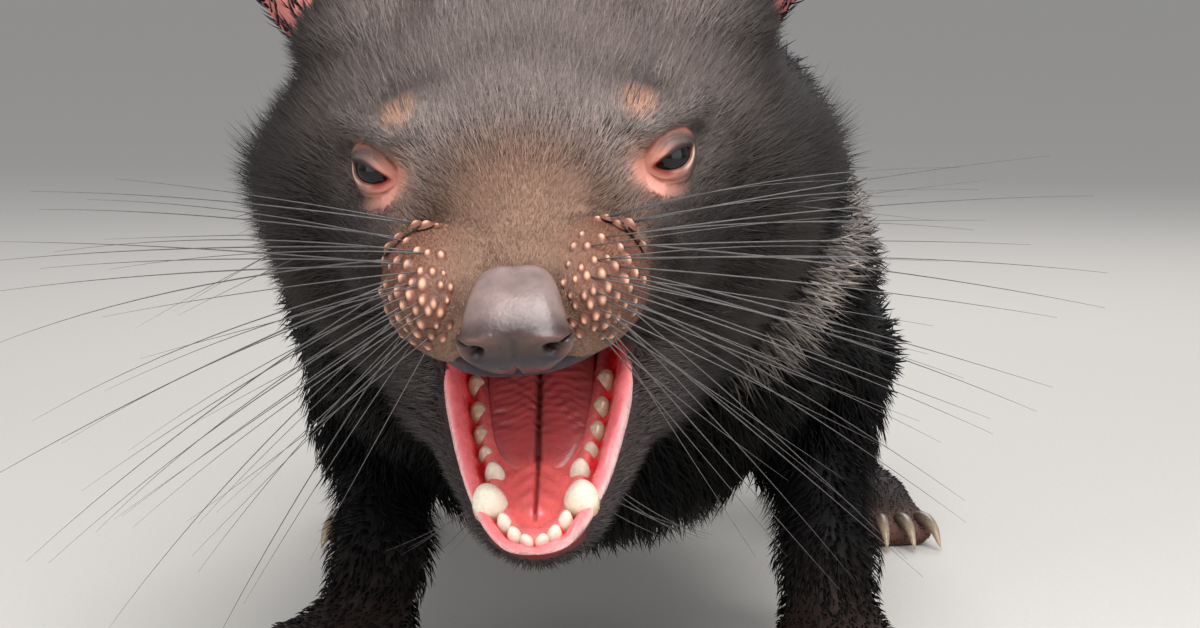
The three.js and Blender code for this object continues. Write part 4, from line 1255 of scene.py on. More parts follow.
def lid_surface(side):
    """Lids round an eye, on a grid of turn about the gaze by the way out from the edge.

    The rim rolls out of the eyeball, the lid follows the ball, and then it runs into the skin:
    r = mix(lid, skin), with two creases a few tenths of a millimetre deep.
    """
    radius = mm(sizes().eye_radius)
    rows, columns = 40, 112
    turn = 2 * np.pi * np.arange(columns)[None] / columns
    share = np.linspace(0, 1, rows)[:, None]
    polar = np.radians(mixed(lid_opening(turn), 88 + 0 * turn, share**1.2))
    way = ways_round(side, polar, turn)
    start = eye_places()[(side + 1) // 2]
    reach = skin_reach(start, way.reshape(-1, 3), body_groups()).reshape(rows, columns)
    reach = np.clip(reach, radius + 0.3, 20)
    tilted = turn - np.radians(LID_TILT)
    above, outer = np.sin(tilted), np.cos(tilted)
    bulged = cornea(radius, np.degrees(polar))
    roll = np.sqrt(np.clip(1 - (1 - np.minimum(share / 0.07, 1)) ** 2, 0, 1))
    thick = 0.55 + 0.9 * smooth(-0.2, 0.6, above)
    rim = bulged + 0.05 + thick * roll
    crease = -0.5 * np.exp(-(((share - 0.34) / 0.05) ** 2)) * smooth(-0.1, 0.5, above)
    crease = crease - 0.4 * np.exp(-(((share - 0.42) / 0.05) ** 2)) * smooth(0.1, -0.5, above)
    crease = crease + 0.12 * np.sin(26 * share + 3 * np.sin(turn * 3)) * smooth(0.2, 0.4, share)
    lift = mixed(rim + 0.8 * share, np.maximum(reach + 0.2, rim), smooth(0.3, 0.95, share))
    points = start + (lift + crease)[..., None] * way
    tone = markings_and_painted_light(out_of(head_frame(), points.reshape(-1, 3)))[0].reshape(rows, columns, 3)
    pale = smooth(0.24, 0.12, share) * smooth(0.3, -0.1, above) * smooth(-0.1, 0.6, outer)
    tone = mixed(tone, np.array(linear("#e3bda9")), pale[..., None] * 0.75)
    dark = smooth(0.2, 0.11, share) * smooth(-0.3, 0.25, above)
    tone = mixed(tone, np.array(linear("#1d100e")), dark[..., None] * 0.95)
    fold = np.exp(-(((share - 0.5) / 0.1) ** 2)) * smooth(0.1, 0.7, above)
    tone = mixed(tone, np.array(linear("#9c5a4a")), fold[..., None] * 0.6)
    red = smooth(0.3, 0.06, share) * smooth(-0.45, -0.9, outer) * smooth(0.4, 0.0, above)
    tone = mixed(tone, np.array(linear("#8a201f")), red[..., None] * 0.95)
    wet = smooth(0.075, 0.02, share)
    tone = mixed(tone, np.array(linear("#471917")), wet[..., None] * 0.85)
    return points.reshape(-1, 3), grid_faces(rows, columns, wrap=True), tone.reshape(-1, 3)


class DEVIL_OT_lids(bpy.types.Operator):
    """Make the bare lids round the eyes"""

    bl_idname = "devil.lids"
    bl_label = "Lids"

    def execute(self, context):
        material = wet_skin("bare lid skin", 0.1, 0.5, 0.5, 0.2, film=0.05)
        for side, label in ((-1, "right"), (1, "left")):
            points, faces, tone = lid_surface(side)
            faces = facing_out(points, faces, eye_places()[(side + 1) // 2])
            place("lids_" + label, out_of(head_frame(), points), faces, material, "muzzle_skin", marking=tone)
        return {"FINISHED"}


# Nose


# The nose's outline in its middle plane, from its root over the top and down its front: y, z and half width
NOSE_LINES = (
    (-43.0, -13.0, 6.4), (-46.8, -10.0, 7.6), (-51.5, -10.4, 8.6), (-56.2, -12.9, 9.6),
    (-60.2, -16.7, 10.5), (-62.3, -20.4, 11.2), (-61.8, -24.2, 11.7), (-59.4, -27.4, 10.9),
    (-55.6, -29.7, 9.2), (-51.2, -30.8, 7.6), (-46.5, -30.4, 6.0),
)


def nose_surface():
    """The outline carried across: x = w sin^e a and depth = D(1 - cos^e a), square to it, with e = 0.62.

    On each side a comma-shaped pit with a raised edge is the nostril, its tail running out and up,
    and a groove runs down the middle of the front. The rim is closed to a point inside.
    """
    rows, columns = 130, 141
    y, z, half = (v[:, None] for v in spline(NOSE_LINES, np.linspace(0, 1, rows)).T)
    step_y, step_z = np.gradient(y[:, 0])[:, None], np.gradient(z[:, 0])[:, None]
    size = np.hypot(step_y, step_z)
    out_y, out_z = step_z / size, -step_y / size
    a = np.linspace(-1, 1, columns)[None] * np.pi / 2
    boxy = 0.62
    x = half * np.sign(a) * np.abs(np.sin(a)) ** boxy
    deep = 7.0 * (1 - np.cos(a) ** boxy)
    side = np.abs(x)
    front = smooth(-0.2, 0.6, -out_y)
    pit = np.exp(-(((side - 8.3) / 2.0) ** 2) - ((z + 24.3 + 0.25 * (side - 8.3)) / 1.5) ** 2) * front
    tail = np.exp(-(((z + 23.2 - 0.55 * (side - 9.2)) / 0.75) ** 2)) * smooth(8.8, 10.0, side) * front
    edge = np.exp(-(((side - 6.8) / 3.4) ** 2) - ((z + 21.3) / 1.3) ** 2) * front
    wing = np.exp(-(((side - 10.4) / 1.6) ** 2) - ((z + 26.0) / 1.8) ** 2) * front
    groove = np.exp(-((x / 0.5) ** 2)) * smooth(-19.5, -22.5, z) * smooth(-0.5, 0.2, -out_y)
    dent = np.exp(-((x / 2.0) ** 2)) * smooth(-14, -11, z)
    sunk = 3.6 * pit + 1.9 * tail + 1.0 * groove + 0.3 * dent - 0.7 * edge - 0.6 * wing
    across = np.sin(a) * 0.8
    points = np.stack([
        NOSE["at"][0] + x - sunk * across,
        y - (deep + sunk * np.cos(a)) * out_y,
        z - (deep + sunk * np.cos(a)) * out_z,
    ], -1)
    hollow = np.clip(pit * 1.4 + tail * 0.8, 0, 1)[..., None]
    height = z + 0 * x
    paint = np.array(colours().nose)
    # Partly the nose's own colour, partly painted light: lighter on top as sheen from above, darker down the front
    # and darkest underneath as shade.
    tone = mixed(paint, np.array(linear("#3a2d2a")), smooth(-14.5, -19.5, height)[..., None])
    tone = mixed(tone, np.array(linear("#1d1722")), smooth(-24.0, -26.5, height)[..., None])
    # Painted highlight: the raised edges of the nostrils are pinker, for light caught on them.
    tone = mixed(tone, np.array(linear("#8a5a52")), np.clip(wing + 0.5 * edge, 0, 1)[..., None] * 0.5)
    # Painted shade: the nostril pits and their tails are near black, for the shade inside them.
    tone = mixed(tone, np.array(linear("#1a0e10")), hollow)
    faces = grid_faces(rows, columns)
    border = border_of(rows, columns)
    points = np.concatenate([points.reshape(-1, 3), [NOSE["at"]]])
    tone = np.concatenate([tone.reshape(-1, 3), [linear("#1a0e10")]])
    fan = np.stack([np.roll(border, -1), border, np.full(len(border), len(points) - 1)], 1)
    return points, faces, fan, tone


class DEVIL_OT_nose(bpy.types.Operator):
    """Make the bare nose with its nostrils"""

    bl_idname = "devil.nose"
    bl_label = "Nose"

    def execute(self, context):
        points, faces, fan, tone = nose_surface()
        a, b, c, d = (points[faces[:, n]] for n in range(4))
        if ((points[faces].mean(1) - NOSE["at"]) * np.cross(c - a, d - b)).sum() < 0:
            faces, fan = faces[:, ::-1], fan[:, ::-1]
        points = out_of(head_frame(), points)
        leather = nose_leather()
        place("nose_leather", points, [faces, fan], leather, "nose_skin", replaces=("nose",), marking=tone)
        return {"FINISHED"}


# Mouth

LOWER_LIP = (-96.6, -14.0, 24.2)  # front, back and half width of the lip's edge, in the jaw's frame


def bow(share):
    """A jaw's half width over its full half width, a share t of the way back: t^0.36 + 0.03 sin(pi t)."""
    t = np.clip(share, 0, 1)
    return t**0.36 + 0.03 * np.sin(np.pi * t)


def lip_edge(y):
    """Half width of the lower lip's edge at a distance back."""
    front, back, half = LOWER_LIP
    return half * bow((y - front) / (back - front))


# Lines of a jaw's lining from the outer edge of the lip to the midline. Each has the y of its
# front and back, its half width, and its z at the front and back.
LOWER_LINING = (
    (-94.0, -14, 25.2, -3.6, 7.0),  # tucked into the coat
    (-95.8, -14, 24.8, -1.4, 10.5),  # outer edge of the lip
    (-96.8, -14, 24.0, 0.6, 12.5),  # crest of the lip
    (-96.4, -15, 22.4, 1.5, 12.5),
    (-95.4, -20, 20.0, 0.9, 9.0),  # inner face
    (-94.6, -34, 17.2, -0.6, 1.2),
    (-94.2, -36, 15.8, -1.4, -0.4),  # groove outside the gum
    (-93.8, -38, 15.0, -0.6, 0.2),
    (-92.6, -40, 13.8, 0.4, 1.2),  # crest of the gum
    (-90.8, -41, 12.2, 0.5, 0.2),
    (-89.2, -42, 10.6, 0.0, -2.0),  # foot of the gum
    (-87.4, -42, 6.8, 0.2, -4.0),
    (-86.0, -42, 3.0, 0.9, -4.4),
    (-85.4, -42, 0.0, 0.7, -4.8),  # midline of the floor
)
UPPER_LINING = (
    (-52.0, 20, 25.5, -26.0, -33.0),
    (-54.2, 20, 24.9, -28.4, -35.2),
    (-53.8, 19, 23.8, -30.4, -36.6),
    (-52.6, 18, 22.2, -31.0, -36.6),
    (-51.2, 17, 20.4, -29.8, -34.6),
    (-50.0, 15, 18.2, -27.8, -31.6),
    (-48.6, 13, 16.2, -28.2, -31.0),
    (-47.0, 11, 14.2, -29.4, -31.6),
    (-45.0, 10, 12.2, -28.0, -30.2),
    (-43.6, 10, 9.0, -26.6, -28.2),
    (-43.0, 10, 4.0, -26.2, -27.4),
    (-43.0, 10, 0.0, -26.4, -27.6),
)


def lining(lines, rows, columns, late=1.0):
    """A jaw's lining, on a grid of the way in from the lip by the way round the jaw.

    Each line runs round the jaw as x = w bow(t), y = front + t(back - front), with t = s^2 for
    s from -1 to 1. Between the lines, all five numbers follow a smooth curve. The lip's height
    goes from its front to its back as t^late, and that of the rest evenly.
    """
    inward = np.linspace(0, 1, rows)
    front, back, half, up_front, up_back = (v[:, None] for v in spline(lines, inward).T)
    s = np.linspace(-1, 1, columns)[None]
    t = s**2
    x = np.sign(s) * np.maximum(half, 0) * bow(t)
    y = front + t * (back - front)
    z = mixed(up_front, up_back, t ** mixed(late, 1.0, smooth(0.3, 0.45, inward[:, None])))
    return np.stack([x, y, z], -1), inward[:, None] + 0 * s, s + 0 * inward[:, None]


def lower_lining():
    """The lower jaw's lining, with folds along the lip, a groove down the floor, and its colours."""
    points, inward, round_jaw = lining(LOWER_LINING, 74, 180, late=1.6)
    x, y = points[..., 0], points[..., 1]
    on_lip = smooth(0.02, 0.12, inward) * smooth(0.44, 0.3, inward)
    points[..., 2] += 0.22 * np.sin(9 * np.abs(round_jaw) * np.pi + 20 * inward) * on_lip
    points[..., 2] += 0.3 * np.sin(x * 0.9 + y * 0.35) * on_lip
    floor = smooth(0.78, 0.9, inward)
    points[..., 2] -= 1.1 * np.exp(-((x / 0.5) ** 2)) * floor
    points[..., 2] += 0.18 * np.sin(y * 1.4 + np.abs(x)) * floor
    paint = np.array(colours().lip)
    tone = mixed(np.array(linear("#ffc6c4")), paint, smooth(0.1, 0.22, inward)[..., None])
    tone = mixed(tone, np.array(linear("#e83c40")), smooth(0.26, 0.4, inward)[..., None])
    tone = mixed(tone, np.array(linear("#f28886")), smooth(0.52, 0.6, inward)[..., None] * 0.8)
    tone = mixed(tone, np.array(linear("#f4726f")), smooth(0.68, 0.78, inward)[..., None])
    line = np.exp(-((x / 0.45) ** 2)) * floor
    tone = mixed(tone, np.array(linear("#9a2c34")), line[..., None] * 0.8)
    # Painted shade: the floor turns dark red towards the back at the sides, deep in the mouth where shade falls.
    deep = smooth(0.62, 0.95, np.abs(round_jaw)) * smooth(0.45, 0.6, inward)
    tone = mixed(tone, np.array(linear("#7c2228")), deep[..., None] * 0.8)
    edge = smooth(0.09, 0.0, inward)
    tone = mixed(tone, np.array(linear("#8a6460")), edge[..., None])
    return points, tone


def upper_lining():
    """The upper jaw's lining and the palate, with its cross ridges about 5 mm apart."""
    points, inward, _ = lining(UPPER_LINING, 60, 160)
    x, y = points[..., 0], points[..., 1]
    roof = smooth(0.72, 0.85, inward)
    points[..., 2] -= 0.5 * np.sin((y + 0.3 * np.abs(x)) * 2 * np.pi / 5.2) * roof
    paint = np.array(colours().lip)
    outer, inner = np.array(linear("#2c222b")), np.array(linear("#7c3a42"))
    tone = mixed(outer, inner, smooth(0.26, 0.44, inward)[..., None])
    tone = mixed(tone, mixed(paint, np.array(linear("#8c3036")), 0.6), smooth(0.4, 0.6, inward)[..., None])
    return points, tone


class DEVIL_OT_mouth(bpy.types.Operator):
    """Make the linings of the lower and the upper jaw"""

    bl_idname = "devil.mouth"
    bl_label = "Mouth lining"

    def execute(self, context):
        wet = wet_skin("wet mouth lining", 0.08, 0.9, 0.2, 0.35)
        moist = wet_skin("moist upper lip and palate", 0.08, 0.9, 0.5, 0.2, film=0.0)
        for name, (points, tone), place_in, up, material in (
            ("lower_mouth", lower_lining(), jaw_frame(), 1, wet),
            ("upper_mouth", upper_lining(), head_frame(), -1, moist),
        ):
            rows, columns, _ = points.shape
            faces = grid_faces(rows, columns)
            points, tone = points.reshape(-1, 3), tone.reshape(-1, 3)
            a, b, c, d = (points[faces[:, n]] for n in range(4))
            if np.cross(c - a, d - b)[:, 2].sum() * up < 0:
                faces = faces[:, ::-1]
            points, faces, tone = welded(points, faces, tone)
            place(name, out_of(place_in, points), faces, material, "mouth", marking=tone)
        return {"FINISHED"}


# Tongue


def tongue_surface():
    """A closed tongue on a grid of the way back by the way round its section.

    The top is z = top + T sqrt(1 - 0.9 t^2), with t across, a groove down the middle, cross
    wrinkles in a V about 2.9 mm apart, and a notch between the two lobes of the tip.
    """
    tip, root, half_width, thick = -74.5, -14.0, 10.8, 3.6
    rows, across = 120, 48
    share = np.linspace(0, 1, rows)[:, None]
    t = np.linspace(-1, 1, across)[None]
    blunt = np.sqrt(np.clip(1 - (1 - np.minimum(1, share * 4.5)) ** 2, 0, 1))
    half = half_width * (0.55 + 0.45 * blunt) * blunt**0.5 * (1 + 0.1 * share)
    notch = 4.0 * np.exp(-((t / 0.12) ** 2)) * smooth(0.16, 0.0, share)
    x = t * half
    y = tip + share * (root - tip) + notch
    rise = 1.2 + 5.0 * share**1.1
    dome = thick * (0.35 + 0.65 * blunt) * np.sqrt(1 - 0.9 * t**2)
    groove = 1.6 * np.exp(-((x / 0.8) ** 2)) * smooth(0.0, 0.05, share)
    slant = y - 0.5 * np.abs(x) + 0.7 * np.sin(0.55 * x + 0.21 * y)
    waves = np.sin(slant * 2 * np.pi / 2.9) * (0.6 + 0.4 * np.sin(0.9 * x + 0.5 * y))
    waves = waves + 0.6 * np.sin((y + 0.25 * np.abs(x)) * 3.3 + 1.3 * np.sin(0.8 * x))
    wrinkle = 0.19 * waves * smooth(0.08, 0.28, share) * smooth(1.0, 0.75, np.abs(t))
    top = np.stack([x, y, rise - 4.4 + dome - groove + wrinkle], -1)
    low = np.stack([x * 0.96, y + 0.4 * (1 - blunt), rise - 5.0 - 1.2 * np.sqrt(1 - 0.9 * t**2) * blunt], -1)
    ring = np.concatenate([top, low[:, ::-1]], 1)
    # Painted shade: dark down the midline groove and a little on the underside, and dark in the troughs of the
    # wrinkles.
    dark = np.concatenate([np.exp(-((x / 0.7) ** 2)) + 0 * share, 0.2 + 0 * x], 1)
    crease = np.concatenate([np.clip(-2 * wrinkle, 0, 1), 0 * x], 1)
    paint = np.array(colours().tongue)
    # Painted light: the tongue darkens towards its back for the upper jaw's shadow on it, and its tip is lighter
    # where light falls.
    tone = mixed(paint, np.array(linear("#7a3230")), smooth(0.05, 0.6, share + 0 * dark)[..., None] * 0.85)
    tone = mixed(np.array(linear("#e8605e")), tone, smooth(0.0, 0.1, share + 0 * dark)[..., None])
    tone = mixed(tone, np.array(linear("#38100f")), np.clip(dark * 0.8 + crease * 0.9, 0, 1)[..., None])
    return ring, tone


class DEVIL_OT_tongue(bpy.types.Operator):
    """Make the tongue"""

    bl_idname = "devil.tongue"
    bl_label = "Tongue"

    def execute(self, context):
        ring, tone = tongue_surface()
        rows, columns, _ = ring.shape
        for end in (0, -1):
            ring[end] = ring[end].mean(0)
        points = ring.reshape(-1, 3)
        faces = facing_out(points, grid_faces(rows, columns, wrap=True), ring[rows // 2].mean(0))
        points, faces, tone = welded(points, faces, tone.reshape(-1, 3))
        points = out_of(jaw_frame(), points)
        material = wet_skin("wet tongue", 0.12, 0.7, 0.3, 0.3)
        place("tongue_flesh", points, faces, material, "mouth", replaces=("tongue",), marking=tone)
        return {"FINISHED"}


# Teeth: how far along the half arch, half width, height, count of cusps, and how far outwards it stands
LOWER_TEETH = (
    (0.045, 1.65, 3.8, 1, 0.0), (0.175, 1.85, 4.4, 1, 0.0), (0.31, 1.95, 4.8, 1, 0.1),
    (0.455, 4.2, 8.4, 1, 1.3), (0.6, 2.5, 5.0, 1, -1.2), (0.69, 2.1, 3.8, 1, -0.2),
    (0.765, 2.6, 3.9, 3, 0.2), (0.845, 2.8, 4.2, 3, 0.3), (0.93, 3.0, 4.2, 3, 0.3),
)
UPPER_TEETH = (
    (0.04, 1.1, 3.2, 1, 0.0), (0.11, 1.1, 3.4, 1, 0.0), (0.2, 1.2, 3.6, 1, 0.0), (0.29, 1.3, 3.8, 1, 0.0),
    (0.43, 2.6, 7.0, 1, 0.6), (0.54, 1.9, 4.0, 1, 0.0), (0.63, 2.1, 4.2, 1, 0.0),
    (0.72, 2.7, 4.6, 3, 0.0), (0.82, 3.0, 4.8, 3, 0.0), (0.93, 3.1, 4.6, 3, 0.0),
)
LOWER_ARCH = {"front": -93.2, "back": -42.0, "half": 14.0, "up_front": -0.4, "up_back": -0.6, "rise": 1}
UPPER_ARCH = {"front": -48.0, "back": 11.0, "half": 14.6, "up_front": -28.0, "up_back": -29.8, "rise": -1}


def tooth_points(half_width, height, cusps):
    """A tooth about its own root: rings of a rounded section that narrow to one cusp, or to three in a row.

    A single cone narrows as (1 - h^2.2)^0.62 and bends back, and a cheek tooth keeps its width and
    has cusps z = H(0.9 + 0.1 cos^2).
    """
    rows, columns = 16, 20
    h = np.linspace(0, 1, rows)[:, None]
    turn = 2 * np.pi * np.arange(columns)[None] / columns
    along, aside = np.cos(turn), np.sin(turn)
    if cusps == 1:
        narrow = np.maximum(1 - h**2.2, 0) ** 0.62
        bend = 0.1 * height * h**2
        x, y = half_width * narrow * aside * 0.92, half_width * narrow * along + bend
        z = height * h + 0 * turn
    else:
        narrow = np.maximum(1 - h**3.5, 0) ** 0.6 * (1 - 0.2 * h)
        x, y = half_width * 0.8 * narrow * aside, half_width * 1.12 * narrow * along
        peaks = 0.9 + 0.1 * np.cos(np.pi * np.clip(y / half_width, -1, 1) * 1.5) ** 2
        z = height * h * mixed(1, peaks, h**1.5)
    return np.stack([x, y, z - 1.6], -1), h + 0 * turn


def teeth_along(arch, table):
    """Every tooth of an arch on both sides, joined, with its colours."""
    all_points, all_quads, all_tones = [], [], []
    start = 0
    paint = np.array(colours().tooth)
    for side in (-1, 1):
        for share, half_width, height, cusps, outward in table:
            shape, h = tooth_points(half_width, height, cusps)
            t = share**2
            step = 0.004
            x, y = arch_at(arch, t)
            ahead_x, ahead_y = arch_at(arch, min(t + step, 1))
            behind_x, behind_y = arch_at(arch, max(t - step, 0))
            along = unit(np.array([ahead_x - behind_x, ahead_y - behind_y]))
            across = np.array([along[1], -along[0]])
            flat = shape[..., 1:2] * along + shape[..., 0:1] * across
            up = mixed(arch["up_front"], arch["up_back"], t)
            lean = -0.18 * shape[..., 2] * (height > 7)
            points = np.stack([
                side * (x + flat[..., 0] + outward * across[0] + 0.04 * shape[..., 2]),
                y + flat[..., 1] + outward * across[1] + lean,
                up + arch["rise"] * shape[..., 2],
            ], -1)
            rows, columns, _ = points.shape
            points[-1] = points[-1].mean(0)
            quads = grid_faces(rows, columns, wrap=True)
            points = points.reshape(-1, 3)
            quads = facing_out(points, quads, points.mean(0))
            tone = mixed(np.array(linear("#c99f6c")), paint, smooth(0.1, 0.5, h.reshape(-1))[:, None])
            # Partly the cheek teeth's own yellower tone, partly painted shade: the teeth darken and brown towards
            # the back of the mouth.
            tone = mixed(tone, np.array(linear("#a5805f")), 0.7 * float(smooth(0.55, 0.8, share)))
            all_points.append(points)
            all_quads.append(quads + start)
            all_tones.append(tone)
            start += len(points)
    return np.concatenate(all_points), np.concatenate(all_quads), np.concatenate(all_tones)


def arch_at(arch, t):
    """Half width and y of an arch of teeth, a share t of the way back."""
    return arch["half"] * bow(t), mixed(arch["front"], arch["back"], t)


class DEVIL_OT_teeth(bpy.types.Operator):
    """Make the teeth of both jaws"""

    bl_idname = "devil.teeth"
    bl_label = "Teeth"

    def execute(self, context):
        material = enamel()
        for name, arch, table, place_in in (
            ("lower_teeth", LOWER_ARCH, LOWER_TEETH, jaw_frame()),
            ("upper_teeth", UPPER_ARCH, UPPER_TEETH, head_frame()),
        ):
            points, quads, tone = teeth_along(arch, table)
            points, faces, tone = welded(points, quads, tone)
            place(name, out_of(place_in, points), faces, material, "tooth", marking=tone)
        return {"FINISHED"}


# Whiskers and their papillae


def pad_grid(side):
    """Staggered rows of papillae over the front of a pad: each one's x and z, its column and its row.

    Columns run outwards 2.5 mm apart and rows down 2.6 mm apart, kept in an ellipse.
    """
    column, row = (v.ravel().astype(float) for v in np.meshgrid(np.arange(7), np.arange(10)))
    x = 11.0 + 2.5 * column + 1.25 * (row % 2)
    z = -3.2 - 2.6 * row + 0.5 * column
    kept = ((x - 18.9) / 8.3) ** 2 + ((z + 14.6) / 11.8) ** 2 < 1
    return np.stack([side * x, z, column, row], 1)[kept]


def pad_places(side):
    """Where the papillae are on the skin, found from the front by halving, and their way out."""
    table = pad_grid(side)
    rng = np.random.default_rng(SEED + 50 + side)
    x, z = table[:, 0] + rng.normal(0, 0.28, len(table)), table[:, 1] + rng.normal(0, 0.28, len(table))
    low, high = np.full(len(table), -70.0), np.full(len(table), PAD["back"] + 0.0)
    head, groups = head_frame(), body_groups()
    for _ in range(16):
        middle = (low + high) / 2
        outside = body_field(out_of(head, np.stack([x, middle, z], 1)), groups) > 0
        low, high = np.where(outside, middle, low), np.where(outside, high, middle)
    at = np.stack([x, (low + high) / 2, z], 1)
    at[:, 1] = np.minimum(at[:, 1], PAD["back"] + 2)
    out = unit((at - [side * PAD["side"], PAD["back"], PAD["up"]]) / np.array(PAD["size"]) ** 2)
    return at, out, table, rng


def papillae(side):
    """Bumps that run out into the skin, z = H((1 - r^2)^2 - 0.2), drawn out along the rows."""
    at, out, table, rng = pad_places(side)
    rows, columns = 9, 12
    r = np.linspace(0, 1, rows)[:, None]
    turn = 2 * np.pi * np.arange(columns)[None] / columns
    size = mm(sizes().papilla_width) / 2 * rng.uniform(0.75, 1.2, len(table))
    size = size * (0.7 + 0.3 * smooth(0, 2, table[:, 2]))
    across = unit(np.cross(out, [0, 0.35, 0.94]))
    over = np.cross(out, across)
    high = (PAPILLA["high"] * ((1 - r**2) ** 2 - 0.2) + 0 * turn)[None, ..., None] * out[:, None, None]
    wide = (PAPILLA["wide"] * r * np.cos(turn))[None, ..., None] * across[:, None, None]
    tall = (PAPILLA["tall"] * r * np.sin(turn))[None, ..., None] * over[:, None, None]
    points = at[:, None, None] + size[:, None, None, None] * (high + wide + tall)
    per = rows * columns
    quads = (grid_faces(rows, columns, wrap=True) + per * np.arange(len(table))[:, None, None]).reshape(-1, 4)
    # Painted highlight: each papilla is pale on its top and darker at its foot, for light caught on its crest.
    base = np.array(linear("#6d4537"))
    top = np.array(linear("#dba88e"))
    share = smooth(0.62, 0.05, r + 0 * turn)[None, ..., None]
    tone = mixed(base, top, share) * rng.uniform(0.75, 1.1, (len(table), 1, 1, 1))
    return at, out, table, points.reshape(-1, 3), quads, np.broadcast_to(tone, points.shape).reshape(-1, 3)


class DEVIL_OT_papillae(bpy.types.Operator):
    """Make the papillae that the whiskers stand in"""

    bl_idname = "devil.papillae"
    bl_label = "Papillae"

    def execute(self, context):
        material = wet_skin("papilla skin", 0.05, 0.5, 0.45, 0.2, film=0.1)
        for side, label in ((-1, "right"), (1, "left")):
            at, _, _, points, quads, tone = papillae(side)
            faces = facing_out(points, quads, at.mean(0))
            points, faces, tone = welded(points, faces, tone)
            points = out_of(head_frame(), points)
            place("papillae_" + label, points, faces, material, "muzzle_skin", marking=tone)
        return {"FINISHED"}


def whisker_paths(side):
    """Each whisker leaves its papilla, fans out, sweeps back and droops: the bend grows as s^2."""
    at, out, table, *_ = papillae(side)
    kept = table[:, 2] >= 2
    at, out, table = at[kept], out[kept], table[kept]
    rng = np.random.default_rng(SEED + 70 + side)
    column, row = table[:, 2], table[:, 3]
    longest = mm(sizes().whisker_length) * (1.0 if side > 0 else 1.1)
    length = longest * (0.44 + 0.12 * column) * (1.0 - 0.04 * np.abs(row - 4))
    length = length * rng.uniform(0.75, 1.05, len(table))
    length = np.minimum(length, longest * 1.1)
    rise = np.radians(22 - 8.2 * row + rng.normal(0, 4, len(table)))
    ahead = np.radians(22 - 7 * column + rng.normal(0, 4, len(table)))
    s = np.linspace(0, 1, 14)[None, :, None]
    way = np.stack([side * np.cos(rise) * np.cos(ahead), -np.sin(ahead), np.sin(rise)], -1)[:, None]
    reach = length[:, None, None]
    back = np.array([0, 1, 0]) * 0.2
    droop = np.array([0, 0, -1]) * rng.uniform(0.04, 0.16, (len(table), 1, 1))
    start = 0.06 * s * (1 - s) * out[:, None]
    paths = at[:, None] + reach * (s * way + start + s**2 * (back + droop))
    taper = (1 - 0.85 * s[..., 0]) * mm(sizes().whisker_width) / 2
    return paths, taper * np.sqrt(length / longest)[:, None]


def brow_whiskers(side):
    """Thin bristles from the brow, the cheek and the chin."""
    rng = np.random.default_rng(SEED + 90 + side)
    head, jaw = head_frame(), jaw_frame()
    sets = (
        (head, (side * 24, -7, 12), (side * 0.35, 0.1, 1.0), 30, 5),
        (head, (side * 46, 14, -16), (side * 1.0, 0.3, -0.1), 52, 4),
        (jaw, (side * 12, -70, -12), (side * 0.8, -0.1, -0.8), 30, 5),
    )
    paths = []
    s = np.linspace(0, 1, 14)[:, None]
    for place_in, at, way, length, count in sets:
        for _ in range(count):
            start = np.array(at) + rng.normal(0, 1.6, 3) * [1, 0.3, 1]
            lean = unit(np.array(way) + rng.normal(0, 0.16, 3))
            reach = length * rng.uniform(0.7, 1.05)
            line = start + reach * (s * lean + s**2 * np.array([0, 0.2, -0.06]))
            paths.append(out_of(place_in, line))
    paths = np.array(paths)
    radii = np.tile((1 - 0.85 * s[:, 0]) * mm(sizes().whisker_width) * 0.32, (len(paths), 1))
    return paths, radii


class DEVIL_OT_whiskers(bpy.types.Operator):
    """Make the whiskers and the bristles of brow, cheek and chin"""

    bl_idname = "devil.whiskers"
    bl_label = "Whiskers"

    def execute(self, context):
        material = horn("whisker keratin", 0.3)
        for side, label in ((-1, "right"), (1, "left")):
            paths, radii = whisker_paths(side)
            more, more_radii = brow_whiskers(side)
            paths = np.concatenate([out_of(head_frame(), paths), more])
            radii = np.concatenate([radii, more_radii])
            points, quads, fans = tubes(paths, radii, 4)
            tone = np.tile(linear("#4a4646"), (len(points), 1))
            place("whiskers_" + label, points, [quads, fans], material, "coat", marking=tone)
        return {"FINISHED"}


# Ears


def ear_axes(side):
    """An ear's way up, the way its cup faces, and its way across."""
    up = unit(np.array([side * 0.45, 0.12, 0.88]))
    facing = np.array([side * 0.42, -0.9, 0.1])
    facing = unit(facing - up * (facing @ up))
    return up, facing, np.cross(up, facing) * side


def ear_surface(side):
    """An ear's two faces: a cup that curls round its own length, closed along its thin rim.

    Half width is H sqrt(1 - ((v - 0.42)/0.6)^2), and the curl falls from 72 degrees to 38.
    """
    up, facing, across = ear_axes(side)
    base = np.array([side * EAR["side"], EAR["back"], EAR["up"]]) - 7 * up
    rows, columns = 46, 44
    v = np.linspace(0, 1, rows)[:, None]
    t = np.linspace(-1, 1, columns)[None]
    half = EAR["half"] * np.sqrt(1 - ((v - 0.42) / 0.6) ** 2) + 0.5
    curl = np.radians(72 - 34 * v)
    radius = half / np.sin(curl)
    turn = t * curl
    rim = np.clip(1 - np.abs(t) ** 6, 0, 1) * np.clip(1 - v**14, 0, 1)
    thick = EAR["thick"] * (1.5 - v) * (1 - 0.5 * t**2) * rim
    line = base + (v * (EAR["height"] + 7) - 2.5 * t**2 * v)[..., None] * up
    cup = radius * (np.cos(curl) - np.cos(turn))
    front = line + (radius * np.sin(turn))[..., None] * across + cup[..., None] * facing
    fold = 0.5 * np.sin(t * 9 + v * 3) * smooth(0.9, 0.4, np.abs(t)) * smooth(0.85, 0.3, v)
    back = front + (thick * np.sin(turn))[..., None] * across - (thick * np.cos(turn))[..., None] * facing
    front = front + fold[..., None] * facing
    return front, back, v + 0 * t, t + 0 * v


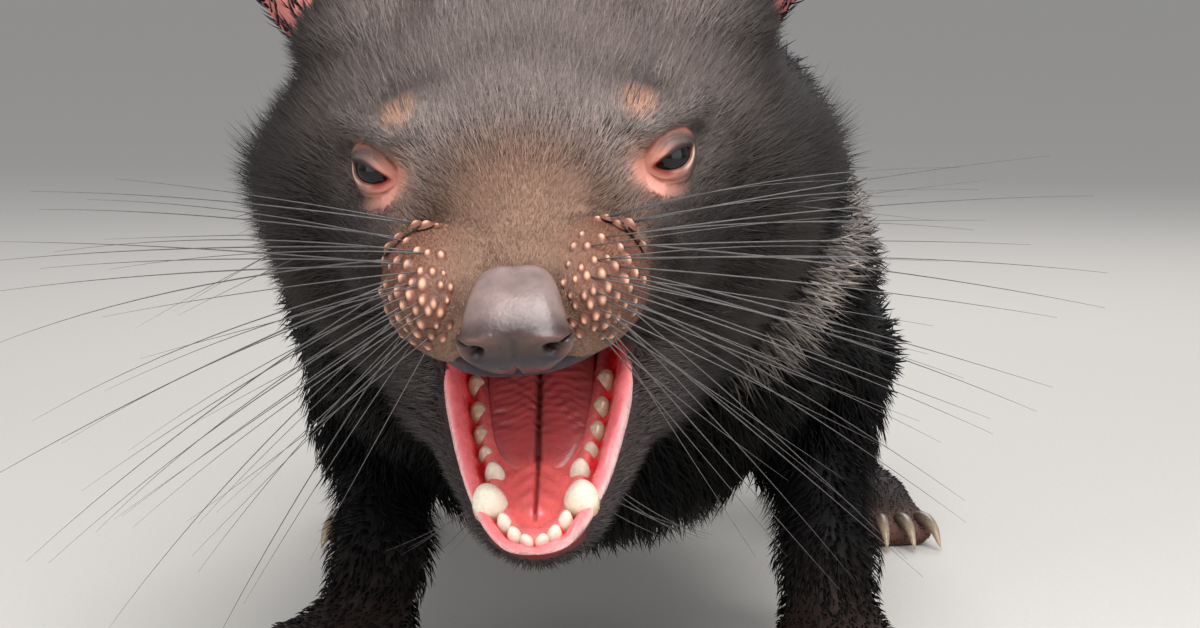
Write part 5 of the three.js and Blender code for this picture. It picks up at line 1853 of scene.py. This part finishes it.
class DEVIL_OT_ears(bpy.types.Operator):
    """Make the ears and the hair on them"""

    bl_idname = "devil.ears"
    bl_label = "Ears"

    def execute(self, context):
        material = wet_skin("thin ear skin", 0.1, 1.2, 0.55, 0.25, film=0.0)
        for side, label in ((-1, "right"), (1, "left")):
            front, back, v, t = ear_surface(side)
            rows, columns = v.shape
            points = np.concatenate([front.reshape(-1, 3), back.reshape(-1, 3)])
            first = grid_faces(rows, columns)
            second = grid_faces(rows, columns, rows * columns)[:, ::-1]
            _, facing, _ = ear_axes(side)
            a, b, c, d = (points[first[:, n]] for n in range(4))
            if (np.cross(c - a, d - b) @ facing).sum() < 0:
                first, second = first[:, ::-1], second[:, ::-1]
            edge = rim_quads(rows, columns)
            faces = np.concatenate([first, second, edge])
            middle, rim = np.array(linear("#c98078")), np.array(linear("#8a4f49"))
            inner = mixed(middle, rim, smooth(0.6, 1.0, np.abs(t))[..., None])
            inner = mixed(inner, np.array(linear("#2c201e")), smooth(0.3, 0.0, v)[..., None])
            outer = np.tile(linear("#1b1817"), (rows * columns, 1))
            tone = np.concatenate([inner.reshape(-1, 3), outer])
            points, front = out_of(head_frame(), points), out_of(head_frame(), front.reshape(-1, 3))
            name = "ear_" + label
            place(name + "_shell", points, faces, material, "ear_skin", replaces=(name,), marking=tone)
            self.hair(name, points, second, front, first, side)
        return {"FINISHED"}

    def hair(self, name, points, back_faces, front, front_faces, side):
        """Short dark hair on the ear's back, and a quarter as much of it inside."""
        rng = np.random.default_rng(SEED + 30 + side)
        up, _, _ = ear_axes(side)
        way = head_frame()[:3, :3] @ up
        count = 2800
        roots, normals = scattered(points, back_faces, lambda p: np.ones(len(p)), count, rng)
        more, more_normals = scattered(points, front_faces, lambda p: np.ones(len(p)), count // 4, rng)
        roots, normals = np.concatenate([roots, more]), np.concatenate([normals, more_normals])
        flow = unit(way - normals * (normals @ way)[:, None])
        length = rng.uniform(3.5, 6, len(roots))
        width = rng.uniform(0.4, 0.7, len(roots))
        full = np.ones((len(roots), 3))
        palette = [full * linear("#1b1817"), full * linear("#121010"), full * linear("#2c2827")]
        coat_piece(name + "_hair", roots, normals, flow, length, width, palette, lift=0.3)


def rim_quads(rows, columns):
    """Quads that join the border of one grid to the border of the same grid numbered after it."""
    size = rows * columns
    border = border_of(rows, columns)
    beside = np.roll(border, -1)
    return np.stack([border, border + size, beside + size, beside], 1)


# Claws


# A claw's middle line: how far each point is beyond the toe's reach, and its height
CLAW_LINE = ((-1, 7.5), (5, 8.6), (11, 6.6), (15.5, 1.4))


class DEVIL_OT_claws(bpy.types.Operator):
    """Make the claws of the four paws"""

    bl_idname = "devil.claws"
    bl_label = "Claws"

    def execute(self, context):
        material = horn("claw horn", 0.28)
        for name, side, paw, joint, turn in PAWS:
            s = np.linspace(0, 1, 12)[:, None]
            lines = []
            for angle in toe_turns(paw):
                stations = [toe_point(paw, angle, paw["reach"] + ahead, up) for ahead, up in CLAW_LINE]
                lines.append(spline(np.array(stations), s[:, 0]))
            paths = np.array([out_of(paw_frame(side, joint, turn), line) for line in lines])
            radii = np.tile(2.2 * (1 - s[:, 0] ** 1.6) ** 0.7 + 0.12, (len(paths), 1))
            points, quads, fans = tubes(paths, radii, 10)
            share = np.repeat(s[:, 0], 10)
            each = np.concatenate([share, [0, 1]])
            dark, pale = np.array(linear("#3b2f2a")), np.array(linear("#a08c74"))
            tone = mixed(dark, pale, smooth(0.1, 1, each)[:, None])
            tone = np.tile(tone, (len(paths), 1))
            place("claws_" + name, points, [quads, fans], material, "claw", marking=tone)
        return {"FINISHED"}


# Stage


class DEVIL_OT_stage(bpy.types.Operator):
    """Make the camera, the lights and the pale floor"""

    bl_idname = "devil.stage"
    bl_label = "Stage"

    def execute(self, context):
        stage = context.scene.devil_stage
        shift = row_shift() / 1000
        camera = bpy.data.cameras.new("camera")
        camera.lens, camera.sensor_width = stage.lens, 36
        camera.clip_start = 0.02
        seen = bpy.data.objects.new("camera", camera)
        eyes = out_of(head_frame(), np.array([0.0, EYE_BACK, 0.0])) / 1000
        seen.location = (shift[0], eyes[1] + shift[1] - stage.camera_away, stage.camera_up)
        seen.rotation_euler = (np.pi / 2 - stage.camera_down, 0, 0)
        context.scene.collection.objects.link(seen)
        context.scene.camera = seen
        context.scene.view_settings.view_transform = "Standard"
        self.lights(context, stage)
        self.floor(context)
        return {"FINISHED"}

    def lights(self, context, stage):
        """A softbox above the head, a fill on each side, and a pale world."""
        for name, at, aim, size, power in (
            ("key", (0.12, -0.85, 0.85), (0, -0.3, 0.12), 0.7, stage.key),
            ("fill left", (0.9, -0.9, 0.35), (0, -0.2, 0.1), 0.8, stage.fill),
            ("fill right", (-0.9, -0.9, 0.3), (0, -0.2, 0.1), 0.8, stage.fill),
            ("back", (0.2, 0.9, 0.9), (0, 0, 0.1), 0.7, stage.fill * 1.6),
        ):
            light = bpy.data.lights.new(name, "AREA")
            light.energy, light.size = power, size
            lamp = bpy.data.objects.new(name, light)
            lamp.location = at
            way = np.array(aim) - np.array(at)
            lamp.rotation_euler = Vector(way).to_track_quat("-Z", "Y").to_euler()
            context.scene.collection.objects.link(lamp)
        world = bpy.data.worlds.new("pale surroundings")
        context.scene.world = world
        world.use_nodes = True
        shade = world.node_tree.nodes["Background"]
        shade.inputs["Color"].default_value = (0.93, 0.95, 1.0, 1)
        shade.inputs["Strength"].default_value = stage.world

    def floor(self, context):
        """A flat round floor, wide enough that its edge is far behind every view."""
        rows, columns = 12, 48
        radius = 14 * np.linspace(0, 1, rows)[:, None] ** 2
        turn = 2 * np.pi * np.arange(columns)[None] / columns
        points = np.stack([radius * np.cos(turn), radius * np.sin(turn), 0 * radius * turn], -1)
        points, faces = welded(points.reshape(-1, 3), grid_faces(rows, columns, wrap=True))
        mesh = bpy.data.meshes.new("floor")
        mesh.from_pydata(points.tolist(), [], [f for part in faces for f in part.tolist()])
        mesh.materials.append(paper_floor())
        made = bpy.data.objects.new("floor", mesh)
        context.scene.collection.objects.link(made)


STEPS = (
    DEVIL_OT_stage, DEVIL_OT_skin, DEVIL_OT_coat, DEVIL_OT_eyes, DEVIL_OT_lids, DEVIL_OT_nose,
    DEVIL_OT_mouth, DEVIL_OT_tongue, DEVIL_OT_teeth, DEVIL_OT_papillae, DEVIL_OT_whiskers,
    DEVIL_OT_ears, DEVIL_OT_claws,
)
GROUPS = {
    "devil_sizes": DevilSizes, "devil_coat": DevilCoat,
    "devil_colours": DevilColours, "devil_stage": DevilStage,
}


class DEVIL_PT_panel(bpy.types.Panel):
    """Lists the sizes and the pieces"""

    bl_label = "Tasmanian devil"
    bl_idname = "DEVIL_PT_panel"
    bl_space_type = "VIEW_3D"
    bl_region_type = "UI"
    bl_category = "Devil"

    def draw(self, context):
        for name, group in GROUPS.items():
            box = self.layout.box()
            for key in group.__annotations__:
                box.prop(getattr(context.scene, name), key)
        for step in STEPS:
            self.layout.operator(step.bl_idname)


def register():
    for cls in (*GROUPS.values(), *STEPS, DEVIL_PT_panel):
        bpy.utils.register_class(cls)
    for name, group in GROUPS.items():
        setattr(bpy.types.Scene, name, bpy.props.PointerProperty(type=group))


def unregister():
    for name in GROUPS:
        delattr(bpy.types.Scene, name)
    for cls in reversed((*GROUPS.values(), *STEPS, DEVIL_PT_panel)):
        bpy.utils.unregister_class(cls)


def main():
    register()
    for step in STEPS:
        getattr(bpy.ops.devil, step.bl_idname.split(".")[1])()


if __name__ == "__main__":
    main()
